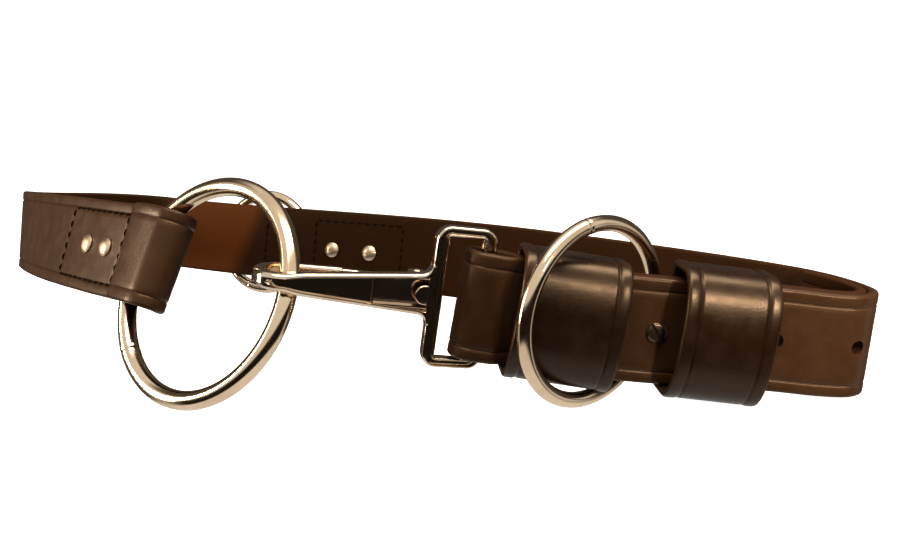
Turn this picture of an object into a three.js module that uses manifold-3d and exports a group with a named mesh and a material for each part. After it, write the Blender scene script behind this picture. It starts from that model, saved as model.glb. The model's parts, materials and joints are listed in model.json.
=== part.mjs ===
// A leather firefighter belt laid on a table in a closed loop: one long strap with a fold at each end,
// two sleeve keepers, three steel rings, and a snap hook that closes the loop at the front.
// Millimetres, +Z up, the table at z = 0, the wearer's front towards -Y.
import * as THREE from 'three';
import { mergeVertices } from 'three/addons/utils/BufferGeometryUtils.js';
import Module from 'manifold-3d';

const wasm = await Module();
wasm.setup();

// Driving dimensions.
const gap = 0.3;
const strap = { width: 44.45, thickness: 4.5, grooveInset: 5.4, grooveDepth: 0.5, grooveHalf: 0.7 };
const bigRing = { outer: 100, wire: 8, x: -102.5, y: -83.5, heading: 55.9, tilt: -25.4 };
const slideRing = { outer: 80, wire: 6.5, x: 57.6, y: -98.8, heading: -52.5, tilt: -4 };
const backRing = { outer: 65, wire: 6, at: 361 };
const rivet = { cap: 9, rim: 0.4, dome: 1.5, shank: 3.6, sides: 10 };
const screw = { cap: 8.2, rim: 1, dome: 0.6, shank: 5, sides: 12, slot: 1.1, at: 824 };
const holes = { diameter: 6, at: [774, 740] };

const leather = { colour: 0x3a2215, roughness: 0.45, metalness: 0 };
const steel = { colour: 0xcfc4b4, roughness: 0.18, metalness: 1 };

// Sleeves round the doubled strap. Front is how far the bulge stands over the strap's middle line, room and
// backRoom the play round the strap, and skew the sleeve's turn on it. Both share a sleeve's wall, how far it
// sits above the strap's middle, and how boxy its bulge is: 2 is an ellipse.
const sleeve = { wall: 3, lift: 0.7, square: 2.6 };
const keepers = [
  { name: 'left_keeper', at: 840, length: 43.5, front: 13.8, room: 1.2, backRoom: 1.1, skew: 0 },
  { name: 'right_keeper', at: 780, length: 38.4, front: 15, room: 2, backRoom: 0.6, skew: -3 },
];
const tab = {
  from: 363.5, to: 462, neck: 30, width: 39, widensFrom: 397, widensOver: 6,
  thickness: 3, wireAt: 390.5, flat: 5.6,
};

const face = strap.thickness / 2 + gap;
const innerFace = -1.5 * strap.thickness - 2 * gap;
const rivets = [
  { name: 'front_rivet_1', at: 31, height: 0, outside: face, inside: innerFace },
  { name: 'front_rivet_2', at: 49, height: 0, outside: face, inside: innerFace },
  { name: 'back_rivet_1', at: 412, height: -1.6, outside: face + tab.thickness + gap, inside: -face },
  { name: 'back_rivet_2', at: 437, height: -1.6, outside: face + tab.thickness + gap, inside: -face },
];

// The strap's outer layer seen from above, from the big ring's fold round the back to the snap's fold.
// Each leg turns evenly over its length, and a negative turn is clockwise.
const start = { x: -132.8, y: -61.1, heading: 142 };
const legs = [
  { name: 'front left', length: 167, turn: -20 },
  { name: 'left bend', length: 123, turn: -143 },
  { name: 'back', length: 212, turn: 0.5 },
  { name: 'back right', length: 118, turn: -17 },
  { name: 'right shoulder', length: 57, turn: -11 },
  { name: 'right side', length: 45, turn: -34.5 },
  { name: 'right bend', length: 22, turn: -95 },
  { name: 'front right', length: 155, turn: 1.5 },
];

// Height of the strap's middle over the table, and how far its top leans into the loop, along its length.
const carriage = [
  { at: -8, rise: 55.6, lean: 28 },
  { at: 4, rise: 56.2, lean: 25 },
  { at: 20, rise: 56, lean: 23.5 },
  { at: 80, rise: 54, lean: 20 },
  { at: 167, rise: 48, lean: 9 },
  { at: 227, rise: 40.5, lean: -1 },
  { at: 312, rise: 34.6, lean: -10 },
  { at: 470, rise: 31.4, lean: -10 },
  { at: 600, rise: 26, lean: -8 },
  { at: 710, rise: 23.8, lean: -5 },
  { at: 745, rise: 23.8, lean: -3 },
  { at: 775, rise: 27.1, lean: -2 },
  { at: 840, rise: 33.2, lean: 0 },
  { at: 906, rise: 44.8, lean: 0 },
];

// The fold at each end: where the middle of its round end is, how far the two layers stand apart inside it,
// how far the outer layer bulges, where the loop begins to narrow, and how long its neck is.
const ringFold = { at: -5, room: 10.2, bulge: 4.4, straight: 13.5, neck: 10 };
const snapFold = { at: 896.2, room: 8.8, bulge: 4.2, straight: 7, neck: 8 };
// The snap in its own lines: forward to the nose, up along the eye's bar, and deep into the loop. Its zero is
// on the eye's outer bar, which the strap's fold carries, level with the hook. The eye's middle is a drop lower.
const snap = {
  heading: 193.7, climb: 7.7, roll: -1.8, lift: 2.6,
  plate: 6, halfEye: 29, bar: 5.3, rail: 4.1, eyeLeft: 22.4, eyeCorner: 5, drop: 0.6,
};
const hook = {
  root: 8.7, waistAt: 72, waist: 4.7, tip: 3.6,
  bowAt: 79, throat: 14.7, arm: 3.6, armEnd: 53,
};
const recess = { from: 25.5, to: 80, depth: 1.8, rim: 2 };
const gate = { at: 26, deep: 9, eye: 3.4, half: 3.8, thick: 3, reach: 56, pin: 3, cheek: 3 };
const stitchedEnd = 80;
const tailEnd = 688;

const degrees = Math.PI / 180;

// The place and heading on the plan at a distance along the strap, straight on beyond both ends.
function planAt(distance) {
  let place = { x: start.x, y: start.y, heading: start.heading * degrees };
  let left = distance;
  if (left < 0) {
    return step(place, left, 0);
  }
  for (const leg of legs) {
    const part = Math.min(left, leg.length);
    place = step(place, part, (leg.turn * degrees * part) / leg.length);
    left -= part;
    if (left <= 0) {
      return place;
    }
  }
  return step(place, left, 0);
}

// One even arc of a given length and turn from a place and heading.
function step(place, length, turn) {
  const chord = Math.abs(turn) < 1e-9 ? length : (2 * length * Math.sin(turn / 2)) / turn;
  const middle = place.heading + turn / 2;
  return {
    x: place.x + chord * Math.cos(middle),
    y: place.y + chord * Math.sin(middle),
    heading: place.heading + turn,
  };
}

// A column of the carriage table read smoothly at a distance along the strap.
function carriageAt(distance, column) {
  const at = Math.min(Math.max(distance, carriage[0].at), carriage[carriage.length - 1].at);
  const upper = Math.max(1, carriage.findIndex((row) => row.at >= at));
  const slope = (index) => {
    const before = carriage[Math.max(index - 1, 0)];
    const after = carriage[Math.min(index + 1, carriage.length - 1)];
    return (after[column] - before[column]) / (after.at - before.at);
  };
  const a = carriage[upper - 1];
  const b = carriage[upper];
  const span = b.at - a.at;
  const t = (at - a.at) / span;
  const rise = b[column] - a[column];
  const inward = slope(upper - 1) * span - rise;
  const outward = rise - slope(upper) * span;
  return a[column] + t * rise + t * (1 - t) * ((1 - t) * inward + t * outward);
}

// The frame of the strap's outer layer: its middle, its direction, its outward normal and its width direction.
function frameAt(distance) {
  const plan = planAt(distance);
  const reach = 2;
  const climb = (carriageAt(distance + reach, 'rise') - carriageAt(distance - reach, 'rise')) / (2 * reach);
  const along = new THREE.Vector3(Math.cos(plan.heading), Math.sin(plan.heading), climb).normalize();
  const side = new THREE.Vector3(-Math.sin(plan.heading), Math.cos(plan.heading), 0);
  const up = new THREE.Vector3().crossVectors(along, side);
  const lean = carriageAt(distance, 'lean') * degrees;
  const width = up.clone().multiplyScalar(Math.cos(lean)).addScaledVector(side, -Math.sin(lean));
  const outward = side.clone().multiplyScalar(Math.cos(lean)).addScaledVector(up, Math.sin(lean));
  return { middle: new THREE.Vector3(plan.x, plan.y, carriageAt(distance, 'rise')), along, outward, width };
}

// A point beside the strap: a distance along it, an offset outwards and a height up its width.
function beside(distance, offset, height = 0) {
  const frame = frameAt(distance);
  return frame.middle.clone().addScaledVector(frame.outward, offset).addScaledVector(frame.width, height);
}

// A closed solid from rows of points, each row a closed section and every row with as many points.
function loft(rows, closed = false) {
  const count = rows[0].length;
  const positions = rows.flat().flatMap((point) => [point.x, point.y, point.z]);
  const faces = [];
  const spans = closed ? rows.length : rows.length - 1;
  for (let row = 0; row < spans; row += 1) {
    const next = (row + 1) % rows.length;
    for (let column = 0; column < count; column += 1) {
      const beyond = (column + 1) % count;
      const a = row * count + column;
      const b = row * count + beyond;
      const c = next * count + beyond;
      const d = next * count + column;
      faces.push(a, b, c, a, c, d);
    }
  }
  if (!closed) {
    capRow(rows[0], 0, positions, faces, true);
    capRow(rows[rows.length - 1], (rows.length - 1) * count, positions, faces, false);
  }
  const geometry = new THREE.BufferGeometry();
  geometry.setAttribute('position', new THREE.Float32BufferAttribute(positions, 3));
  geometry.setIndex(faces);
  return outward(geometry);
}

// A flat cap over a section, cut into triangles as the section's own outline in its plane.
function capRow(row, first, positions, faces, flipped) {
  const origin = row[0];
  const normal = new THREE.Vector3();
  row.forEach((point, index) => {
    const next = row[(index + 1) % row.length];
    const here = new THREE.Vector3().subVectors(point, origin);
    const there = new THREE.Vector3().subVectors(next, origin);
    normal.add(here.cross(there));
  });
  normal.normalize();
  const across = new THREE.Vector3().subVectors(row[Math.floor(row.length / 3)], origin).normalize();
  const rising = new THREE.Vector3().crossVectors(normal, across);
  const flat = row.map((point) => {
    const from = new THREE.Vector3().subVectors(point, origin);
    return new THREE.Vector2(from.dot(across), from.dot(rising));
  });
  for (const [a, b, c] of THREE.ShapeUtils.triangulateShape(flat, [])) {
    const corners = flipped ? [first + a, first + c, first + b] : [first + a, first + b, first + c];
    faces.push(...corners);
  }
}

// The same solid with its faces turned outwards, whichever way its rows ran.
function outward(geometry) {
  const position = geometry.getAttribute('position');
  const index = geometry.getIndex();
  const a = new THREE.Vector3();
  const b = new THREE.Vector3();
  const c = new THREE.Vector3();
  let volume = 0;
  for (let face = 0; face < index.count; face += 3) {
    a.fromBufferAttribute(position, index.getX(face));
    b.fromBufferAttribute(position, index.getX(face + 1));
    c.fromBufferAttribute(position, index.getX(face + 2));
    volume += a.dot(b.cross(c));
  }
  if (volume < 0) {
    for (let face = 0; face < index.count; face += 3) {
      const second = index.getX(face + 1);
      index.setX(face + 1, index.getX(face + 2));
      index.setX(face + 2, second);
    }
  }
  return geometry;
}

// A geometry with only merged positions left.
function merged(geometry) {
  const plain = geometry.clone();
  plain.deleteAttribute('normal');
  plain.deleteAttribute('uv');
  return mergeVertices(plain, 1e-4);
}

function toSolid(geometry) {
  const plain = merged(geometry);
  const index = plain.getIndex().array;
  const mesh = new wasm.Mesh({
    numProp: 3,
    vertProperties: new Float32Array(plain.getAttribute('position').array),
    triVerts: new Uint32Array(index),
  });
  return new wasm.Manifold(mesh);
}

function fromSolid(solid) {
  const mesh = solid.getMesh();
  const geometry = new THREE.BufferGeometry();
  geometry.setAttribute('position', new THREE.Float32BufferAttribute(mesh.vertProperties, 3));
  geometry.setIndex(Array.from(mesh.triVerts));
  return geometry;
}

// The strap's section: a flat band with a pressed groove along each edge of its grain side.
function strapSection() {
  const half = strap.width / 2;
  const thick = strap.thickness / 2;
  const groove = half - strap.grooveInset;
  const side = [
    [half, thick],
    [groove + strap.grooveHalf, thick],
    [groove, thick - strap.grooveDepth],
    [groove - strap.grooveHalf, thick],
  ];
  const grain = [...side, ...side.map(([height, out]) => [-height, out]).reverse()];
  return [...grain, [-half, -thick], [half, -thick]];
}

// Goes smoothly from 0 to 1.
function ease(t) {
  const clamped = Math.min(Math.max(t, 0), 1);
  return clamped * clamped * (3 - 2 * clamped);
}

// How far the outer and the inner layer lie from the strap's own line near a fold, both measured outwards.
function foldLayers(fold, distance, inwardSign) {
  const fromStraight = (distance - fold.at) * inwardSign - fold.straight;
  const open = 1 - ease(fromStraight / fold.neck);
  const apart = fold.room + strap.thickness;
  const layer = strap.thickness + gap;
  return { outer: fold.bulge * open, inner: -layer - (apart - layer - fold.bulge) * open };
}

// The strap's route as pairs of distance and offset: the stitched end, the ring's fold, round the loop,
// the snap's fold and the tail that lies inside the front and ends past the right bend.
function strapRoute() {
  const route = [];
  const add = (distance, offset) => route.push({ distance, offset });
  const fine = 3;
  const foldEnd = ringFold.at + ringFold.straight + ringFold.neck;
  for (let at = stitchedEnd; at > foldEnd; at -= 12) {
    add(at, foldLayers(ringFold, at, 1).inner);
  }
  for (let at = foldEnd; at > ringFold.at + fine / 2; at -= fine) {
    add(at, foldLayers(ringFold, at, 1).inner);
  }
  roundEnd(ringFold, -1, add);
  for (let at = ringFold.at + fine; at < foldEnd; at += fine) {
    add(at, foldLayers(ringFold, at, 1).outer);
  }
  const snapNeck = snapFold.at - snapFold.straight - snapFold.neck;
  for (let at = foldEnd; at < snapNeck; at += stepAt(at)) {
    add(at, 0);
  }
  for (let at = snapNeck; at < snapFold.at - fine / 2; at += fine) {
    add(at, foldLayers(snapFold, at, -1).outer);
  }
  roundEnd(snapFold, 1, add);
  for (let at = snapFold.at - fine; at > snapNeck; at -= fine) {
    add(at, foldLayers(snapFold, at, -1).inner);
  }
  for (let at = snapNeck; at > tailEnd; at -= stepAt(at)) {
    add(at, -strap.thickness - gap);
  }
  add(tailEnd, -strap.thickness - gap);
  return route;
}

// How far apart the strap's sections stand: closer where the plan turns tightly.
function stepAt(distance) {
  const near = 3;
  const turn = Math.abs(planAt(distance + near).heading - planAt(distance - near).heading);
  return turn > 0.15 ? 3.2 : 10;
}

// The half circle of a fold, from its inner layer to its outer one or back.
function roundEnd(fold, direction, add) {
  const radius = (fold.room + strap.thickness) / 2;
  const centre = fold.bulge - radius;
  const steps = 9;
  for (let index = 0; index <= steps; index += 1) {
    const angle = (index / steps) * Math.PI;
    const offset = centre + direction * radius * Math.cos(angle);
    add(fold.at + direction * radius * Math.sin(angle), offset);
  }
}

// The strap as rows of section points that stand square to the route.
function strapGeometry() {
  const section = strapSection();
  const route = strapRoute();
  const points = route.map(({ distance, offset }) => beside(distance, offset));
  const rows = route.map(({ distance }, index) => {
    const before = points[Math.max(index - 1, 0)];
    const after = points[Math.min(index + 1, points.length - 1)];
    const along = new THREE.Vector3().subVectors(after, before).normalize();
    const width = frameAt(distance).width;
    const normal = new THREE.Vector3().crossVectors(width, along).normalize();
    return section.map(([height, out]) =>
      points[index].clone().addScaledVector(width, height).addScaledVector(normal, out));
  });
  return loft(rows);
}

// A plain cylinder through the leather at a distance along the strap, from one offset to another.
function drill(distance, diameter, from, to, height = 0) {
  const geometry = new THREE.CylinderGeometry(diameter / 2, diameter / 2, to - from, 14);
  const frame = frameAt(distance);
  const turn = new THREE.Matrix4().makeBasis(frame.along, frame.outward, frame.width);
  geometry.applyMatrix4(turn.setPosition(beside(distance, (from + to) / 2, height)));
  return toSolid(geometry);
}

// The strap with its holes for the rivets, the screw and the buckling of the tail.
function buildStrap() {
  const far = 14;
  const cuts = [
    ...rivets.map((row) => drill(row.at, rivet.shank + 2 * gap, -far, far, row.height)),
    drill(screw.at, screw.shank + 2 * gap, -far, far),
    ...holes.at.map((at) => drill(at, holes.diameter, -far, far)),
  ];
  return fromSolid(toSolid(strapGeometry()).subtract(wasm.Manifold.union(cuts)));
}

function ringGeometry(ring, sides = 10, steps = 40) {
  return merged(new THREE.TorusGeometry((ring.outer - ring.wire) / 2, ring.wire / 2, sides, steps));
}

// Stands a ring on the table at its place on the plan: its axis points along the heading and tilts off level.
function standRing(mesh, ring) {
  const heading = ring.heading * degrees;
  const tilt = ring.tilt * degrees;
  const level = Math.cos(tilt);
  const axis = new THREE.Vector3(Math.cos(heading) * level, Math.sin(heading) * level, Math.sin(tilt));
  mesh.quaternion.setFromUnitVectors(new THREE.Vector3(0, 0, 1), axis);
  const radius = (ring.outer - ring.wire) / 2;
  mesh.position.set(ring.x, ring.y, radius * level + ring.wire / 2);
}

// Lays a ring flat against the strap's outer face, with its foot on the table.
function layRing(mesh, ring) {
  const frame = frameAt(ring.at);
  const radius = (ring.outer - ring.wire) / 2;
  const offset = strap.thickness / 2 + 1.5 * gap + ring.wire / 2;
  mesh.quaternion.setFromUnitVectors(new THREE.Vector3(0, 0, 1), frame.outward);
  const place = beside(ring.at, offset);
  const level = Math.sqrt(1 - frame.outward.z ** 2);
  const lift = (radius * level + ring.wire / 2 - place.z) / frame.width.z;
  mesh.position.copy(place.addScaledVector(frame.width, lift));
}

function addMesh(parent, name, geometry, finish) {
  const { colour, roughness, metalness } = finish;
  const material = new THREE.MeshStandardMaterial({ color: colour, roughness, metalness });
  const mesh = new THREE.Mesh(geometry, material);
  mesh.name = name;
  parent.add(mesh);
  return mesh;
}

// A keeper's section, grown outwards by a wall or less: boxy round the strap's layers, bulging at the front.
function keeperSection(keeper, grow) {
  const split = strap.thickness / 2 + gap;
  const back = -1.5 * strap.thickness - 2 * gap - keeper.backRoom;
  const high = strap.width / 2 + keeper.room;
  const row = [];
  const steps = 14;
  for (let index = 0; index <= steps; index += 1) {
    const angle = (index / steps - 0.5) * Math.PI;
    const power = 2 / sleeve.square;
    row.push({
      out: split + (keeper.front - split + grow) * Math.cos(angle) ** power,
      high: (high + grow) * Math.sign(angle) * Math.abs(Math.sin(angle)) ** power,
    });
  }
  const corner = 0.8;
  for (let index = 0; index < 8; index += 1) {
    const upper = index < 4 ? 1 : -1;
    const angle = ((index % 4) / 6 + (index < 4 ? 0.25 : 0.5) * 2) * Math.PI;
    row.push({
      out: back + corner + (corner + grow) * Math.cos(angle),
      high: upper * (high - corner) + (corner + grow) * Math.sin(angle),
    });
  }
  return row;
}

// A sleeve round the doubled strap: a tube with rounded lips whose section bulges at the front.
function keeperGeometry(keeper) {
  const lip = 0.8;
  const profile = [
    { distance: 0, grow: sleeve.wall * 0.7 },
    { distance: lip, grow: sleeve.wall },
    { distance: keeper.length - lip, grow: sleeve.wall },
    { distance: keeper.length, grow: sleeve.wall * 0.7 },
    { distance: keeper.length, grow: sleeve.wall * 0.3 },
    { distance: keeper.length - lip, grow: 0 },
    { distance: lip, grow: 0 },
    { distance: 0, grow: sleeve.wall * 0.3 },
  ];
  const frame = frameAt(keeper.at + keeper.length / 2);
  const skew = keeper.skew * degrees;
  const along = frame.along.clone().applyAxisAngle(frame.outward, skew);
  const width = frame.width.clone().applyAxisAngle(frame.outward, skew);
  const rows = profile.map(({ distance, grow }) => keeperSection(keeper, grow).map(({ out, high }) =>
    frame.middle.clone()
      .addScaledVector(along, distance - keeper.length / 2)
      .addScaledVector(frame.outward, out)
      .addScaledVector(width, high + sleeve.lift)));
  return loft(rows, true);
}

// A strip of leather over the back ring's wire, lying flat on the strap on both sides of it and riveted on one.
// It is narrower where it crosses the wire, because the ring curves away there.
function tabGeometry() {
  const base = strap.thickness / 2 + gap;
  const high = backRing.wire + 4 * gap;
  const ramp = 5;
  const offset = (distance) => {
    const beyond = Math.abs(distance - tab.wireAt) - tab.flat;
    return base + high * (1 - ease(beyond / ramp));
  };
  const wider = (tab.width - tab.neck) / 2;
  const rows = [];
  for (let distance = tab.from; distance < tab.to + 0.1; distance += stepOnTab(distance)) {
    const at = Math.min(distance, tab.to);
    const low = offset(at);
    const top = low + tab.thickness;
    const half = tab.neck / 2 + wider * ease((at - tab.widensFrom) / tab.widensOver);
    rows.push([
      beside(at, low, -half), beside(at, low, half),
      beside(at, top - 0.5, half), beside(at, top, half - 0.5),
      beside(at, top, -half + 0.5), beside(at, top - 0.5, -half),
    ]);
  }
  const cuts = rivets.filter((row) => row.at > tab.from && row.at < tab.to)
    .map((row) => drill(row.at, rivet.shank + 2 * gap, 0, 14, row.height));
  return fromSolid(toSolid(loft(rows)).subtract(wasm.Manifold.union(cuts)));
}

function stepOnTab(distance) {
  return Math.abs(distance - tab.wireAt) < 16 ? 2 : 6;
}

// A stud as one turned piece: a low domed cap outside, a shank through the leather and a like cap inside.
function studGeometry(stud, row) {
  const cap = stud.cap / 2;
  const steps = 3;
  const dome = [];
  for (let index = 0; index <= steps; index += 1) {
    const angle = (index / steps) * Math.PI / 2;
    dome.push({ radius: cap * Math.sin(angle), rise: stud.rim + stud.dome * Math.cos(angle) });
  }
  const outline = [
    ...dome.map(({ radius, rise }) => new THREE.Vector2(radius, row.outside + rise)),
    new THREE.Vector2(cap, row.outside),
    new THREE.Vector2(stud.shank / 2, row.outside),
    new THREE.Vector2(stud.shank / 2, row.inside),
    new THREE.Vector2(cap, row.inside),
    ...dome.reverse().map(({ radius, rise }) => new THREE.Vector2(radius, row.inside - rise)),
  ];
  const geometry = outward(merged(new THREE.LatheGeometry(outline, stud.sides)));
  const frame = frameAt(row.at);
  const turn = new THREE.Matrix4().makeBasis(frame.along, frame.outward, frame.width);
  geometry.applyMatrix4(turn.setPosition(beside(row.at, 0, row.height)));
  return fromSolid(toSolid(geometry));
}

// The adjusting screw: a stud with a slot across its outer head.
function screwGeometry() {
  const row = { at: screw.at, height: 0, outside: face, inside: innerFace };
  const frame = frameAt(screw.at);
  const depth = 0.8;
  const cut = new THREE.BoxGeometry(screw.slot, depth + 1, screw.cap + 2);
  cut.rotateY(35 * degrees);
  const turn = new THREE.Matrix4().makeBasis(frame.along, frame.outward, frame.width);
  const top = face + screw.rim + screw.dome;
  cut.applyMatrix4(turn.setPosition(beside(screw.at, top + 0.5 - depth / 2)));
  return fromSolid(toSolid(studGeometry(screw, row)).subtract(toSolid(cut)));
}

// A closed outline with rounded corners, from corner rows of forward, up and radius.
function rounded(corners, hole = false) {
  const path = hole ? new THREE.Path() : new THREE.Shape();
  corners.forEach((corner, index) => {
    const [x, y, radius] = corner;
    const before = corners[(index + corners.length - 1) % corners.length];
    const after = corners[(index + 1) % corners.length];
    const here = new THREE.Vector2(x, y);
    const start = new THREE.Vector2(before[0], before[1]).sub(here).setLength(radius).add(here);
    const end = new THREE.Vector2(after[0], after[1]).sub(here).setLength(radius).add(here);
    if (index === 0) {
      path.moveTo(start.x, start.y);
    } else {
      path.lineTo(start.x, start.y);
    }
    path.quadraticCurveTo(x, y, end.x, end.y);
  });
  path.closePath();
  return path;
}

// A plate cut to an outline in the forward and up lines, between two depths.
function plateOf(shape, from, to) {
  const options = { depth: to - from, bevelEnabled: false, curveSegments: 4 };
  const geometry = new THREE.ExtrudeGeometry(shape, options);
  geometry.translate(0, 0, from);
  return toSolid(geometry);
}

// A bar cut to an outline in the forward and deep lines, between two heights over the hook's middle line.
function barOf(shape, low, high) {
  const options = { depth: high - low, bevelEnabled: false, curveSegments: 8 };
  const geometry = new THREE.ExtrudeGeometry(shape, options);
  geometry.rotateX(Math.PI / 2);
  geometry.translate(0, high, 0);
  return toSolid(geometry);
}

// The snap's front: the square eye and the tapering back of the hook in one outline.
function snapFront() {
  const { halfEye, eyeLeft, eyeCorner, bar, drop, rail } = snap;
  const { root, waist, waistAt, tip, bowAt } = hook;
  const right = -bar / 2;
  const top = halfEye - drop;
  const foot = -halfEye - drop;
  const shape = rounded([
    [right, foot, eyeCorner], [right, top, eyeCorner], [eyeLeft, top, eyeCorner],
    [eyeLeft, root, 4], [waistAt, waist, 4], [bowAt, tip, 0.1],
    [bowAt, -tip, 0.1], [waistAt, -waist, 4], [eyeLeft, -root, 4],
    [eyeLeft, foot, eyeCorner],
  ]);
  shape.holes.push(rounded([
    [right + bar, foot + rail, 1.2], [eyeLeft - bar, foot + rail, 3],
    [eyeLeft - bar, top - rail, 3], [right + bar, top - rail, 1.2],
  ], true));
  const half = snap.plate / 2;
  const wide = root - recess.rim;
  const narrow = waist - recess.rim;
  const hollow = rounded([
    [recess.from, -wide, 1], [waistAt, -narrow, 3], [recess.to, 0, 1], [waistAt, narrow, 3],
    [recess.from, wide, 1],
  ]);
  return plateOf(shape, -half, half).subtract(plateOf(hollow, -half - 1, -half + recess.depth));
}

// The bow round the nose and the arm that comes back behind the throat.
function snapBow() {
  const front = -snap.plate / 2;
  const back = snap.plate / 2 + hook.throat + hook.arm;
  const outerRadius = (back - front) / 2;
  const innerRadius = hook.throat / 2;
  const inner = snap.plate / 2 + innerRadius;
  const shape = new THREE.Shape();
  shape.moveTo(hook.bowAt - 6, front);
  shape.lineTo(hook.bowAt, front);
  shape.absarc(hook.bowAt, front + outerRadius, outerRadius, -Math.PI / 2, Math.PI / 2, false);
  shape.lineTo(hook.armEnd + 2, back);
  shape.quadraticCurveTo(hook.armEnd, back, hook.armEnd, back - hook.arm / 2);
  shape.lineTo(hook.armEnd, back - hook.arm);
  shape.lineTo(hook.bowAt, back - hook.arm);
  shape.absarc(hook.bowAt, inner, innerRadius, Math.PI / 2, -Math.PI / 2, true);
  shape.lineTo(hook.bowAt - 6, snap.plate / 2);
  return barOf(shape, -hook.tip, hook.tip);
}

// One of the two ears behind the plate that hold the gate's pin.
function snapCheek(side) {
  const shape = new THREE.Shape();
  shape.moveTo(gate.at - 4.5, 0);
  shape.lineTo(gate.at - 4, gate.deep);
  shape.absarc(gate.at, gate.deep, 4, Math.PI, 0, true);
  shape.lineTo(gate.at + 4.5, 0);
  const hole = new THREE.Path();
  hole.absarc(gate.at, gate.deep, gate.pin / 2 + gap, 0, 2 * Math.PI, false);
  shape.holes.push(hole);
  const near = gate.half + gap;
  const far = near + gate.cheek;
  return side > 0 ? barOf(shape, near, far) : barOf(shape, -far, -near);
}

// The gate: an eye on the pin and a flat tongue that rests against the arm's inner side.
function gateSolid() {
  const rest = snap.plate / 2 + hook.throat - gap;
  const shape = new THREE.Shape();
  const { at, deep, eye, thick, reach } = gate;
  shape.moveTo(at, deep - eye);
  shape.lineTo(at + 8, deep - eye + 1.4);
  shape.lineTo(reach - 6, rest - thick);
  shape.lineTo(reach, rest - thick);
  shape.lineTo(reach, rest);
  shape.lineTo(reach - 6, rest);
  shape.lineTo(at + 6, deep + eye);
  shape.absarc(at, deep, eye, Math.PI / 2, Math.PI * 1.5, false);
  const hole = new THREE.Path();
  hole.absarc(at, deep, gate.pin / 2 + gap, 0, 2 * Math.PI, false);
  shape.holes.push(hole);
  return barOf(shape, -gate.half, gate.half);
}

function pinSolid() {
  const reach = gate.half + gap + gate.cheek;
  const shape = new THREE.Shape();
  shape.absarc(gate.at, gate.deep, gate.pin / 2, 0, 2 * Math.PI, false);
  return barOf(shape, -reach, reach);
}

// The snap's place: its forward, up and deep lines and the middle of the bar that lies in the strap's fold.
function snapPlace() {
  const heading = snap.heading * degrees;
  const climb = snap.climb * degrees;
  const forward = new THREE.Vector3(
    Math.cos(heading) * Math.cos(climb), Math.sin(heading) * Math.cos(climb), Math.sin(climb));
  const level = new THREE.Vector3(Math.sin(heading), -Math.cos(heading), 0);
  const up = new THREE.Vector3().crossVectors(level, forward).applyAxisAngle(forward, snap.roll * degrees);
  const deep = new THREE.Vector3().crossVectors(forward, up);
  const depth = snapFold.bulge - (snapFold.room + strap.thickness) / 2;
  const middle = beside(snapFold.at - 1.2, depth, snap.lift);
  return new THREE.Matrix4().makeBasis(forward, up, deep).setPosition(middle);
}

function placed(solid) {
  const geometry = fromSolid(solid);
  geometry.applyMatrix4(snapPlace());
  return geometry;
}

function buildSnap(parent) {
  const body = wasm.Manifold.union([snapFront(), snapBow(), snapCheek(1), snapCheek(-1)]);
  addMesh(parent, 'snap_body', placed(body), steel);
  addMesh(parent, 'snap_gate', placed(gateSolid()), steel);
  addMesh(parent, 'gate_pin', placed(pinSolid()), steel);
}

// Moves the whole belt so that its box stands centred on the origin, its foot at z = 0.
function centre(group) {
  const box = new THREE.Box3().setFromObject(group, true);
  const middle = box.getCenter(new THREE.Vector3());
  group.children.forEach((mesh) => mesh.position.sub(new THREE.Vector3(middle.x, middle.y, box.min.z)));
}

const belt = new THREE.Group();
addMesh(belt, 'main_strap', buildStrap(), leather);
keepers.forEach((keeper) => addMesh(belt, keeper.name, keeperGeometry(keeper), leather));
addMesh(belt, 'back_tab', tabGeometry(), leather);
standRing(addMesh(belt, 'big_ring', ringGeometry(bigRing), steel), bigRing);
standRing(addMesh(belt, 'slide_ring', ringGeometry(slideRing), steel), slideRing);
layRing(addMesh(belt, 'back_ring', ringGeometry(backRing), steel), backRing);
rivets.forEach((row) => addMesh(belt, row.name, studGeometry(rivet, row), steel));
addMesh(belt, 'adjusting_screw', screwGeometry(), steel);
buildSnap(belt);
centre(belt);
export default belt;
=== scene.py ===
# %% [markdown]
# # A leather firefighter belt
# This lesson builds a heavy leather belt that lies on a table in a closed loop. One long strap is folded at
# both ends: the left fold holds a large steel ring and the right fold holds a snap hook, which is clipped
# into the ring. Two leather sleeves, called keepers, go round the doubled strap on the right, and two more
# rings hang on the belt. The solid parts are already there as a fixed frame, in metres, with +Z up. Every
# piece made here lies exactly where its solid lies, and is a finer surface with a real finish.

# %% Load the frame
import json
import math

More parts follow.
